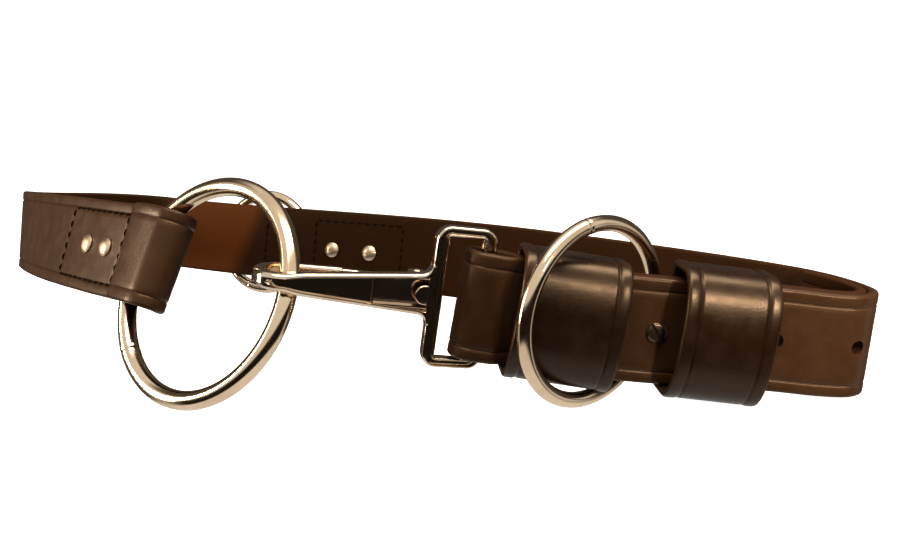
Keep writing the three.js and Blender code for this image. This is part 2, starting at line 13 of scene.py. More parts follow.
import bmesh
import bpy
import numpy as np
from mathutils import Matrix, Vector

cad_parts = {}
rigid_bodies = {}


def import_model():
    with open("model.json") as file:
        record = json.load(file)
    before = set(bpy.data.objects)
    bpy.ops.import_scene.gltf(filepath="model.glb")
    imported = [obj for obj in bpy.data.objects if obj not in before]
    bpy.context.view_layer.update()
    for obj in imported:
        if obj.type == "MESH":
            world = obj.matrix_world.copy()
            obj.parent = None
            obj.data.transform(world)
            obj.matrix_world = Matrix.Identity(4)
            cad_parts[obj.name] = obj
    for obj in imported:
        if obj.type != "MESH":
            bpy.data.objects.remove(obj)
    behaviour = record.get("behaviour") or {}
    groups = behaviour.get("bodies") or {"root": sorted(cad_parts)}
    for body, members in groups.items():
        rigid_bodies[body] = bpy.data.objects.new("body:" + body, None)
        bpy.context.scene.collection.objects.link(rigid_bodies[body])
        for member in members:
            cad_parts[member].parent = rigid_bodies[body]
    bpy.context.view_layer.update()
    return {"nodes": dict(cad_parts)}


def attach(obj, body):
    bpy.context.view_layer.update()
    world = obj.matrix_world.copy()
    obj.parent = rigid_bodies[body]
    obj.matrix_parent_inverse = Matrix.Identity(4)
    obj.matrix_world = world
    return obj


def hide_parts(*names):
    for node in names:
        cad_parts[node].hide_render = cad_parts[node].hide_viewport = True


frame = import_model()
print("solids:", sorted(frame["nodes"]))

# %% [markdown]
# ## The camera
# The photograph looks down at the belt by a little over eleven degrees, from half a metre away, with a
# field of view of fifty-three degrees. The camera is therefore given by its place, its pitch and its focal
# length, and nothing is fitted by eye.

# %% Camera
PHOTO_WIDTH, FOCAL_PIXELS = 899, 900.0
SENSOR, PITCH = 36.0, 11.45
camera_data = bpy.data.cameras.new("camera")
camera_data.sensor_width = SENSOR
camera_data.lens = SENSOR * FOCAL_PIXELS / PHOTO_WIDTH
camera_data.clip_start = 0.01
camera = bpy.data.objects.new("camera", camera_data)
bpy.context.scene.collection.objects.link(camera)
camera.location = (0.037634, -0.459063, 0.129578)
camera.rotation_euler = (math.radians(90 - PITCH), 0, 0)
bpy.context.scene.camera = camera
print("lens in millimetres:", round(camera_data.lens, 2))

# %% [markdown]
# ## Surfaces from arrays
# Every new piece is a grid of points with two parameters, worked out as one numpy array and put into a mesh
# in one go. A grid may close on itself in either direction, and an open tube gets a flat cap on each end.
# The grid also carries a UV map and, where a material needs it, a number at each point.

# %% Faces of a grid
def grid_faces(rows, columns, close_rows, close_columns):
    """Four corner numbers of each cell: (i, j), (i, j+1), (i+1, j+1), (i+1, j), modulo the grid's size."""
    i = np.arange(rows if close_rows else rows - 1)[:, None]
    j = np.arange(columns if close_columns else columns - 1)[None, :]
    down, right = (i + 1) % rows, (j + 1) % columns
    cells = [i * columns + j, i * columns + right, down * columns + right, down * columns + j]
    return np.stack([np.broadcast_to(c, (i.size, j.size)) for c in cells], -1).reshape(-1, 4)


def signed_volume(points, quads):
    """A sixth of the sum of a . (b x c) over the triangles: negative when the faces point inwards."""
    a, b, c, d = (points[quads[:, k]] for k in range(4))
    return (np.einsum("ij,ij->i", a, np.cross(b, c)) + np.einsum("ij,ij->i", a, np.cross(c, d))).sum() / 6


print("cells of a 3 by 4 grid:", len(grid_faces(3, 4, False, False)))


# %% A mesh object
SHARP = math.radians(38)
POLE = 2e-6  # metres within which two points are one


def weld(mesh):
    """Joins points that lie on each other, as at a pole, and drops the faces that shrink to nothing."""
    work = bmesh.new()
    work.from_mesh(mesh)
    bmesh.ops.remove_doubles(work, verts=work.verts, dist=POLE)
    work.to_mesh(mesh)
    work.free()
    mesh.set_sharp_from_angle(angle=SHARP)


def mesh_object(name, points, quads, caps=(), values=None, uv=None):
    """A mesh object from points, four-sided faces and round caps, with its faces turned outwards.

    values is a dictionary of numbers at each point, and uv a pair at each point, both in grid order.
    """
    points = np.asarray(points, float).reshape(-1, 3)
    if signed_volume(points - points.mean(0), quads) < 0:
        quads = quads[:, ::-1]
        caps = [cap[::-1] for cap in caps]
    corners = np.concatenate([quads.ravel(), *caps]).astype(np.int32)
    totals = np.concatenate([np.full(len(quads), 4), [len(cap) for cap in caps]]).astype(np.int32)
    mesh = bpy.data.meshes.new(name)
    mesh.vertices.add(len(points))
    mesh.vertices.foreach_set("co", points.astype(np.float32).ravel())
    mesh.loops.add(len(corners))
    mesh.loops.foreach_set("vertex_index", corners)
    mesh.polygons.add(len(totals))
    mesh.polygons.foreach_set("loop_start", (np.cumsum(totals) - totals).astype(np.int32))
    mesh.polygons.foreach_set("loop_total", totals)
    mesh.update(calc_edges=True)
    if uv is not None:
        layer = mesh.uv_layers.new(name="UVMap")
        layer.data.foreach_set("uv", np.asarray(uv, np.float32).reshape(-1, 2)[corners].ravel())
    for key, column in (values or {}).items():
        attribute = mesh.attributes.new(key, "FLOAT", "POINT")
        attribute.data.foreach_set("value", np.asarray(column, np.float32).ravel())
    mesh.polygons.foreach_set("use_smooth", np.ones(len(totals), bool))
    piece = bpy.data.objects.new(name, mesh)
    bpy.context.scene.collection.objects.link(piece)
    weld(mesh)
    return piece


def tube(name, points, close_rows=False, values=None, uv=None):
    """A grid whose columns close into a section: a ring when close_rows is set, else a capped tube."""
    rows, columns = points.shape[:2]
    first = np.arange(columns)[::-1]
    last = np.arange(columns) + (rows - 1) * columns
    quads = grid_faces(rows, columns, close_rows, True)
    return mesh_object(name, points, quads, [] if close_rows else [first, last], values, uv)


print("edges sharper than", round(math.degrees(SHARP)), "degrees stay hard")

# %% [markdown]
# Joins and cuts are made on finished meshes: the tool's mesh is combined with the piece and then removed.

# %% Joining and cutting finished pieces
def combine(piece, others, operation):
    """The piece with the others joined to it or cut from it, as one closed mesh."""
    for other in others:
        step = piece.modifiers.new("combine", "BOOLEAN")
        step.operation = operation
        step.solver = "EXACT"
        step.object = other
    bpy.context.view_layer.update()
    shown = piece.evaluated_get(bpy.context.evaluated_depsgraph_get())
    result = bpy.data.meshes.new_from_object(shown)
    piece.modifiers.clear()
    piece.data = result
    for other in others:
        bpy.data.objects.remove(other)
    result.set_sharp_from_angle(angle=SHARP)
    return piece


print("pieces are joined and cut by their exact surfaces")


# %% [markdown]
# The table is a pale sheet that rises behind the belt in one curve, so that no horizon shows.

# %% Table and backdrop
def backdrop_points(half=3.0, front=-2.5, bend_at=1.6, radius=0.8, top=2.6):
    """A sheet over x in [-half, half]: flat to y = bend_at, then a quarter circle, then straight up."""
    x = np.linspace(-half, half, 13)
    bend = np.linspace(0, math.pi / 2, 24)
    flat = np.stack([np.linspace(front, bend_at - 0.05, 16), np.zeros(16)], -1)
    curve = np.stack([bend_at + radius * np.sin(bend), radius - radius * np.cos(bend)], -1)
    wall = np.stack([np.full(6, bend_at + radius), np.linspace(radius + 0.05, top, 6)], -1)
    line = np.concatenate([flat, curve, wall])
    points = np.zeros((len(line), len(x), 3))
    points[..., 0] = x[None, :]
    points[..., 1:] = line[:, None, :]
    return points


sheet = backdrop_points()
table = mesh_object("table", sheet[:, ::-1], grid_faces(*sheet.shape[:2], False, False))
print("table faces:", len(table.data.polygons))

# %% [markdown]
# ## The line of the strap
# A stiff strap standing on its edge bends evenly, so its plan is a chain of arcs, each with a length and a
# turn. A second table gives how high the strap's middle is over the table and how far its top leans in.
# Everything that sits on the strap is placed by three numbers: a distance along it, an offset out of its
# face and a height up its width. All the tables are in millimetres and the finished pieces in metres.

# %% Tables of the strap
MM = 0.001
CENTRED = np.array([37.634171, -9.062795, -0.021591])  # brings the belt's middle over the origin
WIDTH, THICK, GAP = 44.45, 4.5, 0.3
START = (-132.8, -61.1, 142.0)  # x, y, heading in degrees
LEGS = np.array([  # length, turn in degrees
    [167, -20], [123, -143], [212, 0.5], [118, -17], [57, -11], [45, -34.5], [22, -95], [155, 1.5]])
CARRIAGE = np.array([  # distance, height of the middle, lean in degrees
    [-8, 55.6, 28], [4, 56.2, 25], [20, 56, 23.5], [80, 54, 20], [167, 48, 9], [227, 40.5, -1],
    [312, 34.6, -10], [470, 31.4, -10], [600, 26, -8], [710, 23.8, -5], [745, 23.8, -3],
    [775, 27.1, -2], [840, 33.2, 0], [906, 44.8, 0]])
print("length of the strap's outer layer:", LEGS[:, 0].sum(), "mm")


# %% Places on the strap
def plan_at(distance):
    """Place and heading on the plan: an arc of length l that turns by t has the chord l sin(t/2) / (t/2)."""
    distance = np.asarray(distance, float)
    length, turn = LEGS[:, 0], np.radians(LEGS[:, 1])
    begins = np.concatenate([[0], np.cumsum(length)])
    heading = math.radians(START[2]) + np.concatenate([[0], np.cumsum(turn)])
    chord = length * np.sinc(turn / 2 / np.pi)
    middle = heading[:-1] + turn / 2
    corner_x = START[0] + np.concatenate([[0], np.cumsum(chord * np.cos(middle))])
    corner_y = START[1] + np.concatenate([[0], np.cumsum(chord * np.sin(middle))])
    leg = np.clip(np.searchsorted(begins, distance, side="right") - 1, 0, len(length) - 1)
    part = np.clip(distance - begins[leg], 0, length[leg])
    beyond = distance - begins[leg] - part
    bend = turn[leg] * part / length[leg]
    reach = part * np.sinc(bend / 2 / np.pi)
    end = heading[leg] + bend
    x = corner_x[leg] + reach * np.cos(heading[leg] + bend / 2) + beyond * np.cos(end)
    y = corner_y[leg] + reach * np.sin(heading[leg] + bend / 2) + beyond * np.sin(end)
    return x, y, end


def carriage_at(distance, column):
    """A column of the carriage table, read with a cubic whose slope at each row is its neighbours' slope."""
    at, value = CARRIAGE[:, 0], CARRIAGE[:, column]
    distance = np.clip(distance, at[0], at[-1])
    row = np.arange(len(at))
    before, after = np.maximum(row - 1, 0), np.minimum(row + 1, len(at) - 1)
    slope = (value[after] - value[before]) / (at[after] - at[before])
    upper = np.clip(np.searchsorted(at, distance, side="left"), 1, len(at) - 1)
    span = at[upper] - at[upper - 1]
    t = (distance - at[upper - 1]) / span
    rise = value[upper] - value[upper - 1]
    inward = slope[upper - 1] * span - rise
    outward = rise - slope[upper] * span
    return value[upper - 1] + t * rise + t * (1 - t) * ((1 - t) * inward + t * outward)


last_heading = plan_at(LEGS[:, 0].sum())[2]
print("heading of the strap at the snap, in degrees:", np.degrees(last_heading).round(1))


# %% Directions on the strap
def unit(vectors):
    """Each vector over its length."""
    return vectors / np.linalg.norm(vectors, axis=-1, keepdims=True)


def frame_at(distance):
    """Middle, along, outward and width of the outer layer.

    Outward is left of along, and outward and width are leant by the table's lean.
    """
    distance = np.asarray(distance, float)
    x, y, heading = plan_at(distance)
    climb = (carriage_at(distance + 2, 1) - carriage_at(distance - 2, 1)) / 4
    along = unit(np.stack([np.cos(heading), np.sin(heading), climb], -1))
    side = np.stack([-np.sin(heading), np.cos(heading), np.zeros_like(heading)], -1)
    up = np.cross(along, side)
    lean = np.radians(carriage_at(distance, 2))[..., None]
    width = up * np.cos(lean) - side * np.sin(lean)
    outward = side * np.cos(lean) + up * np.sin(lean)
    middle = np.stack([x, y, carriage_at(distance, 1)], -1) + CENTRED
    return middle, along, outward, width


def lines_at(distance):
    """The four rows of frame_at for one distance."""
    return [row[0] for row in frame_at([distance])]


def beside(distance, offset, height):
    """Points beside the strap, in millimetres: middle + offset * outward + height * width."""
    distance, offset, height = np.broadcast_arrays(*np.atleast_1d(distance, offset, height))
    middle, along, outward, width = frame_at(distance)
    return middle + offset[..., None] * outward + height[..., None] * width


def smooth(t):
    """Goes from 0 to 1 as 3 t^2 - 2 t^3."""
    t = np.clip(t, 0, 1)
    return t * t * (3 - 2 * t)


print("strap middle half way round:", beside(450, 0, 0).round(1).tolist())

# %% [markdown]
# ## The main strap
# The strap is one piece of leather 44 mm wide and 4.5 mm thick. At the left it turns back round the ring's
# wire and is sewn and riveted to itself. At the right it turns back round the snap's bar and its tail runs
# back inside the belt, past the right bend. It is made as one section carried along one route. The section
# has rounded, rubbed edges, and a creased line pressed in near each of them. Along the stitching the leather
# is drawn in a little, so the section is pressed in there too.

# %% Route of the strap
# where the fold turns, its room inside, the lift of its outer layer, the arch's reach and its foot's share
RING_FOLD = dict(at=-5.0, room=10.2, bulge=4.4, reach=23.5, foot=0.27)
SNAP_FOLD = dict(at=896.2, room=8.8, bulge=4.2, reach=15.0, foot=0.42)
STITCHED_END, TAIL_END = 80.0, 688.0


def fold_layers(fold, distance, inward):
    """Offsets of the outer and inner layer near a fold: an arch sqrt(1 - t^2) smooth((1 - t) / foot)."""
    t = ((distance - fold["at"]) * inward / fold["reach"]).clip(0, 1)
    opened = np.sqrt(1 - t ** 2) * smooth((1 - t) / fold["foot"])
    apart, layer = fold["room"] + THICK, THICK + GAP
    return fold["bulge"] * opened, -layer - (apart - layer - fold["bulge"]) * opened


def round_end(fold, direction, count=26):
    """Half a circle from one layer to the other: at + r sin(a) along, centre + r cos(a) out."""
    angle = np.linspace(0, np.pi, count)[1:-1]
    radius = (fold["room"] + THICK) / 2
    centre = fold["bulge"] - radius
    along, out = direction * radius * np.sin(angle), direction * radius * np.cos(angle)
    return np.stack([fold["at"] + along, centre + out], -1)


def strap_route(step=1.4):
    """Distance and offset along the whole strap: stitched end, ring fold, outer layer, snap fold, tail."""
    fine, fine_to = 1.0, 85
    end = np.arange(STITCHED_END, RING_FOLD["at"] - 0.1, -fine)
    outer = np.concatenate([
        np.arange(RING_FOLD["at"], fine_to, fine), np.arange(fine_to, SNAP_FOLD["at"] + 0.1, step)])
    tail = np.arange(SNAP_FOLD["at"], TAIL_END - 0.1, -step)
    lift = fold_layers(RING_FOLD, outer, 1)[0] + fold_layers(SNAP_FOLD, outer, -1)[0]
    return np.concatenate([
        np.stack([end, fold_layers(RING_FOLD, end, 1)[1]], -1), round_end(RING_FOLD, -1),
        np.stack([outer, lift], -1), round_end(SNAP_FOLD, 1),
        np.stack([tail, fold_layers(SNAP_FOLD, tail, -1)[1]], -1)])


route = strap_route()
print("rows along the strap:", len(route))


# %% Section of the strap
def leather_section(width, thick, edge, crease, press):
    """Heights and offsets round a flat band: thick/2 - r + sqrt(r^2 - x^2) at its edges, less the crease.

    The crease is press * exp(-((h - place) / 0.42)^2), pressed in on the grain side only.
    """
    half = width / 2
    lean = np.linspace(np.pi / 2, 0, 7)
    near = [crease + step for step in (-0.9, -0.45, -0.2, 0, 0.2, 0.45, 0.9)]
    heights = np.unique(np.concatenate([
        half - edge + edge * np.cos(lean), np.linspace(0, half - edge, 7), near]))
    heights = np.concatenate([heights[::-1], -heights[heights > 0]])
    corner = np.maximum(np.abs(heights) - (half - edge), 0)
    out = thick / 2 - edge + np.sqrt(np.maximum(edge ** 2 - corner ** 2, 0))
    grain_side = out - press * np.exp(-((np.abs(heights) - crease) / 0.42) ** 2)
    return np.stack([np.concatenate([heights, heights[::-1]]), np.concatenate([grain_side, -out[::-1]])], -1)


CREASE_INSET, CREASE_DEPTH, ROUNDING = 5.4, 0.5, 1.5
strap_section = leather_section(WIDTH, THICK, ROUNDING, WIDTH / 2 - CREASE_INSET, CREASE_DEPTH)
print("points round the section:", len(strap_section))

# %% A section carried along a route
def carried(route, section, pressed=None, spread=1.0):
    """Each section point at middle + s h * width + o * (width x tangent), with s the spread at each row."""
    middle = beside(route[:, 0], route[:, 1], 0)
    tangent = unit(np.gradient(middle, axis=0))
    width = frame_at(route[:, 0])[3]
    normal = unit(np.cross(width, tangent))
    out = np.broadcast_to(section[:, 1], (len(route), len(section)))
    if pressed is not None:
        out = out + pressed
    height = np.broadcast_to(spread, len(route))[:, None] * section[:, 0]
    return middle[:, None] + height[..., None] * width[:, None] + out[..., None] * normal[:, None]


def surface_map(distance, across):
    """Distance along and around a grid, in metres, as its UV map."""
    return np.stack(np.broadcast_arrays(distance[:, None], across[None, :]), -1) * MM


SEAM = dict(start=18.3, end=71.5, height=16.5, depth=0.22)


def seam_press(route, section):
    """How far the stitched rectangle draws the face in: depth * exp(-(d / 0.8)^2), d from its outline."""
    distance, height = route[:, :1], section[None, :, 0]
    along = np.maximum(SEAM["start"] - distance, distance - SEAM["end"])
    across = np.abs(height) - SEAM["height"]
    apart = np.abs(np.maximum(along, across))
    return -np.sign(section[None, :, 1]) * SEAM["depth"] * np.exp(-(apart / 0.8) ** 2)


points = carried(route, strap_section, seam_press(route, strap_section))
run = np.concatenate([[0], np.cumsum(np.linalg.norm(np.diff(points.mean(1), axis=0), axis=1))])
print("length of the whole strap:", round(run[-1], 1), "mm")

# %% [markdown]
# Three numbers at each point tell the leather what it shows there: its flesh side, its cut edge, or the
# reddish patch inside the belt's back, which is painted light: the inside is painted lighter and redder
# there, as if lit. The tail's inner layer is marked as flesh side too, which paints shade on it.

# %% The strap as one surface
# The patch where light is painted on the inside of the back: painted lighter and redder, as if lit.
PAINTED_LIGHT_PATCH = dict(start=282, rise=25, end=360, fall=16, slant=0.4)


def cut_edge(section, half, fade):
    """1 on the cut edge and 0 on the faces: smooth((|h| - half) / fade)."""
    return smooth((np.abs(section[:, 0]) - half) / fade)


distance, offset = route[:, :1], route[:, 1]
flesh = np.broadcast_to(strap_section[:, 1] < 0, points.shape[:2]).astype(float)
# Painted shade: the tail's inner layer shows its grain side, yet is marked as flesh so that it takes the
# dark, dull inside colour.
flesh[(offset < -3) & (route[:, 0] > 600)] = 1
# Painted light on the inside of the back, fading in and out along the strap and slanted across it.
before_end = PAINTED_LIGHT_PATCH["end"] + PAINTED_LIGHT_PATCH["slant"] * strap_section[None, :, 0] - distance
worn = smooth(before_end / PAINTED_LIGHT_PATCH["fall"]) * smooth((distance - PAINTED_LIGHT_PATCH["start"]) / PAINTED_LIGHT_PATCH["rise"])
edge = np.broadcast_to(cut_edge(strap_section, WIDTH / 2 - 1.7, 1.2), points.shape[:2])
strap = tube("strap", points * MM, values={"flesh": flesh, "edge": edge, "worn": worn},
             uv=surface_map(run, strap_section[:, 0]))
print("faces of the strap:", len(strap.data.polygons))

# %% [markdown]
# The rivets, the adjusting screw and the two buckling holes go through the leather. A rod of the hole's
# size is placed square to the strap at each of them and cut out.

# %% Holes in the strap
RIVETS = np.array([  # distance, height, offset of the leather's outer face, offset of its inner face
    [31, 0, 2.25, -7.05], [49, 0, 2.25, -7.05],
    [412, -1.6, 5.55, -2.25], [437, -1.6, 5.55, -2.25]])
SCREW_AT = 824.0
BUCKLING_HOLES_AT = [774.0, 740.0]
RIVET_HOLE, SCREW_HOLE, BUCKLING_HOLE = 4.2, 5.6, 6


def turned(name, profile, distance, height, steps=32):
    """A profile of radius and offset turned about the outward line at a place on the strap."""
    middle, along, outward, width = lines_at(distance)
    angle = np.linspace(0, 2 * np.pi, steps, endpoint=False)
    spoke = np.cos(angle)[:, None] * along + np.sin(angle)[:, None] * width
    profile = np.asarray(profile, float)
    place = middle + height * width
    points = place + profile[:, None, :1] * spoke[None] + profile[:, None, 1:] * outward
    return tube(name, points * MM)


def drill(distance, height, diameter, low=-14, high=14):
    """A plain rod square to the strap, for cutting a hole."""
    radius = diameter / 2
    return turned("drill", [[0, low], [radius, low], [radius, high], [0, high]], distance, height)


rods = [drill(at, height, RIVET_HOLE) for at, height in RIVETS[:, :2]]
rods += [drill(SCREW_AT, 0, SCREW_HOLE)] + [drill(at, 0, BUCKLING_HOLE) for at in BUCKLING_HOLES_AT]
strap = combine(strap, rods, "DIFFERENCE")
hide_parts("main_strap")
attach(strap, "belt")
print("strap after drilling:", len(strap.data.polygons), "faces")

# %% [markdown]
# ## The keepers
# A keeper is a sleeve of the same leather. Its back lies flat on the doubled strap and its front is boxy and
# bulges, because the sleeve is wetted and shaped over a block. The section is half a superellipse with a flat
# back, grown outwards by the wall, and it is carried from rim to rim. The rims are rolled over softly, and
# a line is creased in six millimetres from each of them.

# %% Section and profile of a keeper
KEEPERS = {  # distance, length, front, play round the strap, play at the back, skew in degrees
    "left_keeper": (840.0, 43.5, 13.8, 1.2, 1.1, 0.0),
    "right_keeper": (780.0, 38.4, 15.0, 2.0, 0.6, -3.0)}
SLEEVE_WALL, SLEEVE_LIFT, SLEEVE_SQUARE = 3.0, 0.7, 2.6


def sleeve_section(front, room, back_room, grow):
    """Out and high round a sleeve: split + f cos(a)^p and h sin(a)^p at the front, p = 2 / squareness.

    The angles are drawn a little towards the corners, where the front turns fastest.
    """
    grow = np.asarray(grow, float)[:, None]
    split, corner = THICK / 2 + GAP, 0.8
    back = -1.5 * THICK - 2 * GAP - back_room
    high = WIDTH / 2 + room
    power = 2 / SLEEVE_SQUARE
    angle = np.linspace(-np.pi / 2, np.pi / 2, 73)
    angle = angle - 0.12 * np.sin(4 * angle)
    front_out = split + (front - split + grow) * np.cos(angle).clip(0) ** power
    front_high = (high + grow) * np.sign(angle) * np.abs(np.sin(angle)) ** power
    turn = np.linspace(np.pi / 2, np.pi, 9)
    upper_out = back + corner + (corner + grow) * np.cos(turn)
    upper_high = high - corner + (corner + grow) * np.sin(turn)
    down = np.linspace(0.9, -0.9, 9)
    flat_out = np.broadcast_to(back - grow, (len(grow), 9))
    flat_high = (high - corner) * down * np.ones_like(grow)
    out = np.concatenate([front_out, upper_out, flat_out, upper_out[:, ::-1]], 1)
    tall = np.concatenate([front_high, upper_high, flat_high, -upper_high[:, ::-1]], 1)
    return np.stack([out, tall], -1)


def sleeve_profile(length, wall, lip=1.3, crease=5.6):
    """Distance and growth round the wall: outer face, rolled rim, inner face and the other rim, closed.

    The outer face is wall - 0.45 exp(-((d - crease) / 0.55)^2), and swells a little between crease and rim.
    """
    near = [c + np.linspace(-1.6, 1.6, 13) for c in (crease, length - crease)]
    along = np.unique(np.concatenate([np.linspace(lip, length - lip, 40), *near]))
    from_rim = np.minimum(along, length - along)
    face = wall - 0.45 * np.exp(-((from_rim - crease) / 0.55) ** 2) + 0.25 * smooth((crease - from_rim) / 2.5)
    turn = np.linspace(0, np.pi, 10)[1:-1]
    high, low = face[-1], 0.15
    half = (high - low) / 2
    roll = np.stack([length - lip + lip * np.sin(turn), low + half + half * np.cos(turn)], -1)
    inner = np.stack([np.linspace(length - lip, lip, 8), np.full(8, low)], -1)
    other = np.stack([lip - lip * np.sin(turn), low + half - half * np.cos(turn)], -1)
    return np.concatenate([np.stack([along, face], -1), roll, inner, other])


def turned_about(vector, axis, degrees):
    """Rodrigues' turn of a vector about a unit axis."""
    angle = math.radians(degrees)
    return (vector * math.cos(angle) + np.cross(axis, vector) * math.sin(angle)
            + axis * np.dot(axis, vector) * (1 - math.cos(angle)))


print("wall of a keeper:", SLEEVE_WALL, "mm")


# %% Keepers
def keeper_points(at, length, front, room, back_room, skew):
    """Each point at middle + (d - l/2) along + out * outward + (high + lift) * width, turned by the skew."""
    middle, along, outward, width = lines_at(at + length / 2)
    along = turned_about(along, outward, skew)
    width = turned_about(width, outward, skew)
    profile = sleeve_profile(length, SLEEVE_WALL)
    section = sleeve_section(front, room, back_room, profile[:, 1])
    reach = (profile[:, 0] - length / 2)[:, None, None] * along
    return middle + reach + section[..., :1] * outward + (section[..., 1:] + SLEEVE_LIFT) * width, profile


for name, sizes in KEEPERS.items():
    points, profile = keeper_points(*sizes)
    rim = np.minimum(profile[:, 0], sizes[1] - profile[:, 0])
    around = np.linspace(0, 160, points.shape[1])
    piece = tube(name + "_leather", points * MM, close_rows=True, values={
        "flesh": np.broadcast_to(profile[:, 1:] < 0.5, points.shape[:2]),
        "edge": np.broadcast_to(smooth((1.1 - rim) / 1.1)[:, None], points.shape[:2])},
        uv=surface_map(profile[:, 0], around))
    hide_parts(name)
    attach(piece, "belt")
    print(name, "is", sizes[1], "mm long,", len(piece.data.polygons), "faces")

# %% [markdown]
# ## The back tab
# Behind the left shoulder a second ring hangs from a short strip of leather, which passes over the ring's
# wire, is sewn to the strap on both sides of it and riveted on one. The strip is the strap's kind of section,
# narrower and thinner. It rises over the wire on a smooth ramp, and beyond the ring it widens.

# %% Back tab
TAB = dict(start=363.5, end=462.0, neck=30.0, width=39.0, widens_from=397.0, widens_over=6.0,
           thick=3.0, wire_at=390.5, flat=5.6, ramp=5.0, rounding=1.0, crease=13.2, press=0.25)
BACK_WIRE = 6.0


def tab_offset(distance):
    """Height of the strip's underside: gap + (wire + 4 gap) (1 - smooth((|d - wire| - flat) / ramp))."""
    beyond = np.abs(distance - TAB["wire_at"]) - TAB["flat"]
    return THICK / 2 + GAP + (BACK_WIRE + 4 * GAP) * (1 - smooth(beyond / TAB["ramp"]))


def tab_spread(distance):
    """The strip's width over its neck's width: 1 + (width / neck - 1) smooth((d - from) / over)."""
    return 1 + (TAB["width"] / TAB["neck"] - 1) * smooth((distance - TAB["widens_from"]) / TAB["widens_over"])


tab_line = np.linspace(TAB["start"], TAB["end"], 104)
tab_route = np.stack([tab_line, tab_offset(tab_line) + TAB["thick"] / 2], -1)
tab_section = leather_section(TAB["neck"], TAB["thick"], TAB["rounding"], TAB["crease"], TAB["press"])
points = carried(tab_route, tab_section, spread=tab_spread(tab_line))
tab = tube("back_tab_leather", points * MM, values={
    "flesh": np.broadcast_to(tab_section[:, 1] < 0, points.shape[:2]),
    "edge": np.broadcast_to(cut_edge(tab_section, TAB["neck"] / 2 - 1.2, 1.0), points.shape[:2])},
    uv=surface_map(tab_line, tab_section[:, 0]))
rods = [drill(at, height, RIVET_HOLE, low=2.3) for at, height in RIVETS[2:, :2]]
tab = combine(tab, rods, "DIFFERENCE")
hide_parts("back_tab")
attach(tab, "belt")
rise = float(tab_offset(TAB["wire_at"]) - tab_offset(TAB["end"]))
print("tab rises", round(rise, 2), "mm over the ring's wire")

# %% [markdown]
# ## The rings
# The rings are bent from round steel rod, butt-welded, ground and nickel plated. A perfect torus would look
# like a drawing, so each one gets its weld: a low swelling of the wire with a fine dip in the middle. The
# weld of the big ring shows at its lower left and that of the sliding ring at its top.

# %% Rings
def ring_points(centre, axis, radius, wire, weld_at, steps=180, around=28):
    """A torus: centre + (R + r cos b) spoke(a) + r sin b axis, with r (1 + swell) near the weld's angle.

    The swelling is 0.035 exp(-x^2) - 0.05 exp(-(5 x)^2), x being the distance from the weld in wires.
    """
    top = unit(np.array([0, 0, 1.0]) - axis[2] * axis)
    side = np.cross(axis, top)
    even = np.linspace(0, 2 * np.pi, steps, endpoint=False)
    near = np.mod(np.linspace(-7, 7, 61) / radius, 2 * np.pi)
    past_weld = np.unique(np.concatenate([even, near]))
    a = past_weld + np.radians(weld_at)
    b = np.linspace(0, 2 * np.pi, around, endpoint=False)
    from_weld = (np.mod(past_weld + np.pi, 2 * np.pi) - np.pi) * radius / (wire * 0.45)
    swell = 0.035 * np.exp(-from_weld ** 2) - 0.05 * np.exp(-(5 * from_weld) ** 2)
    r = wire / 2 * (1 + swell)[:, None]
    spoke = np.cos(a)[:, None] * top + np.sin(a)[:, None] * side
    reach = radius + r * np.cos(b)
    return centre + reach[..., None] * spoke[:, None] + (r * np.sin(b))[..., None] * axis


def standing(x, y, heading, tilt, outer, wire):
    """Centre and axis of a ring that stands on the table: its centre is R cos(tilt) + wire / 2 high."""
    heading, tilt = math.radians(heading), math.radians(tilt)
    axis = np.array([math.cos(heading) * math.cos(tilt), math.sin(heading) * math.cos(tilt), math.sin(tilt)])
    radius = (outer - wire) / 2
    centre = np.array([x, y, radius * math.cos(tilt) + wire / 2]) + CENTRED
    return centre, axis, radius


def lying(at, outer, wire):
    """Centre and axis of a ring that lies flat on the strap's outer face with its foot on the table."""
    middle, _, outward, width = lines_at(at)
    radius = (outer - wire) / 2
    place = middle + (THICK / 2 + 1.5 * GAP + wire / 2) * outward
    level = math.sqrt(1 - outward[2] ** 2)
    lift = (radius * level + wire / 2 - (place[2] - CENTRED[2])) / width[2]
    return place + lift * width, outward, radius


RINGS = {  # x, y, heading, tilt, outside and wire, or distance, outside and wire; then wire, weld's angle
    "big_ring": (*standing(-102.5, -83.5, 55.9, -25.4, 100, 8), 8, 227),
    "slide_ring": (*standing(57.6, -98.8, -52.5, -4, 80, 6.5), 6.5, 12),
    "back_ring": (*lying(361, 65, BACK_WIRE), BACK_WIRE, 200)}
for name, (centre, axis, radius, wire, weld_at) in RINGS.items():
    piece = tube(name + "_steel", ring_points(centre, axis, radius, wire, weld_at) * MM, close_rows=True)
    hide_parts(name)
    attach(piece, "belt")
    print(name, "centre", centre.round(1).tolist(), "hole", 2 * radius - wire, "mm")

# %% [markdown]
# ## Rivets and the adjusting screw
# The rivets are two-part studs: a low dome outside and a like one inside, joined by a shank that fills its
# hole. The dome is flattened a little at its top, where the setting tool struck it. The adjusting screw has
# a flat head with a bevelled rim and a slot, and holds the tail at the length that the wearer chose.

# %% Rivets
RIVET = dict(cap=9.0, shank=3.6, rim=0.6, height=1.5, dent=0.12)
SEAT = 0.05  # millimetres between a cap and the leather


def dome(radius, rim, height, base, sign, dent=0.0, count=12):
    """Rim and dome from the edge to the middle: rim + h (1 - x^2.4) - dent exp(-(x / 0.35)^2), x = r / R."""
    x = np.linspace(1, 0, count)
    rise = rim + height * (1 - x ** 2.4) - dent * np.exp(-(x / 0.35) ** 2)
    foot = [[radius * 0.94, 0], [radius, rim * 0.35]]
    line = np.concatenate([foot, np.stack([radius * x, rise], -1)])
    return np.stack([line[:, 0], base + sign * line[:, 1]], -1)


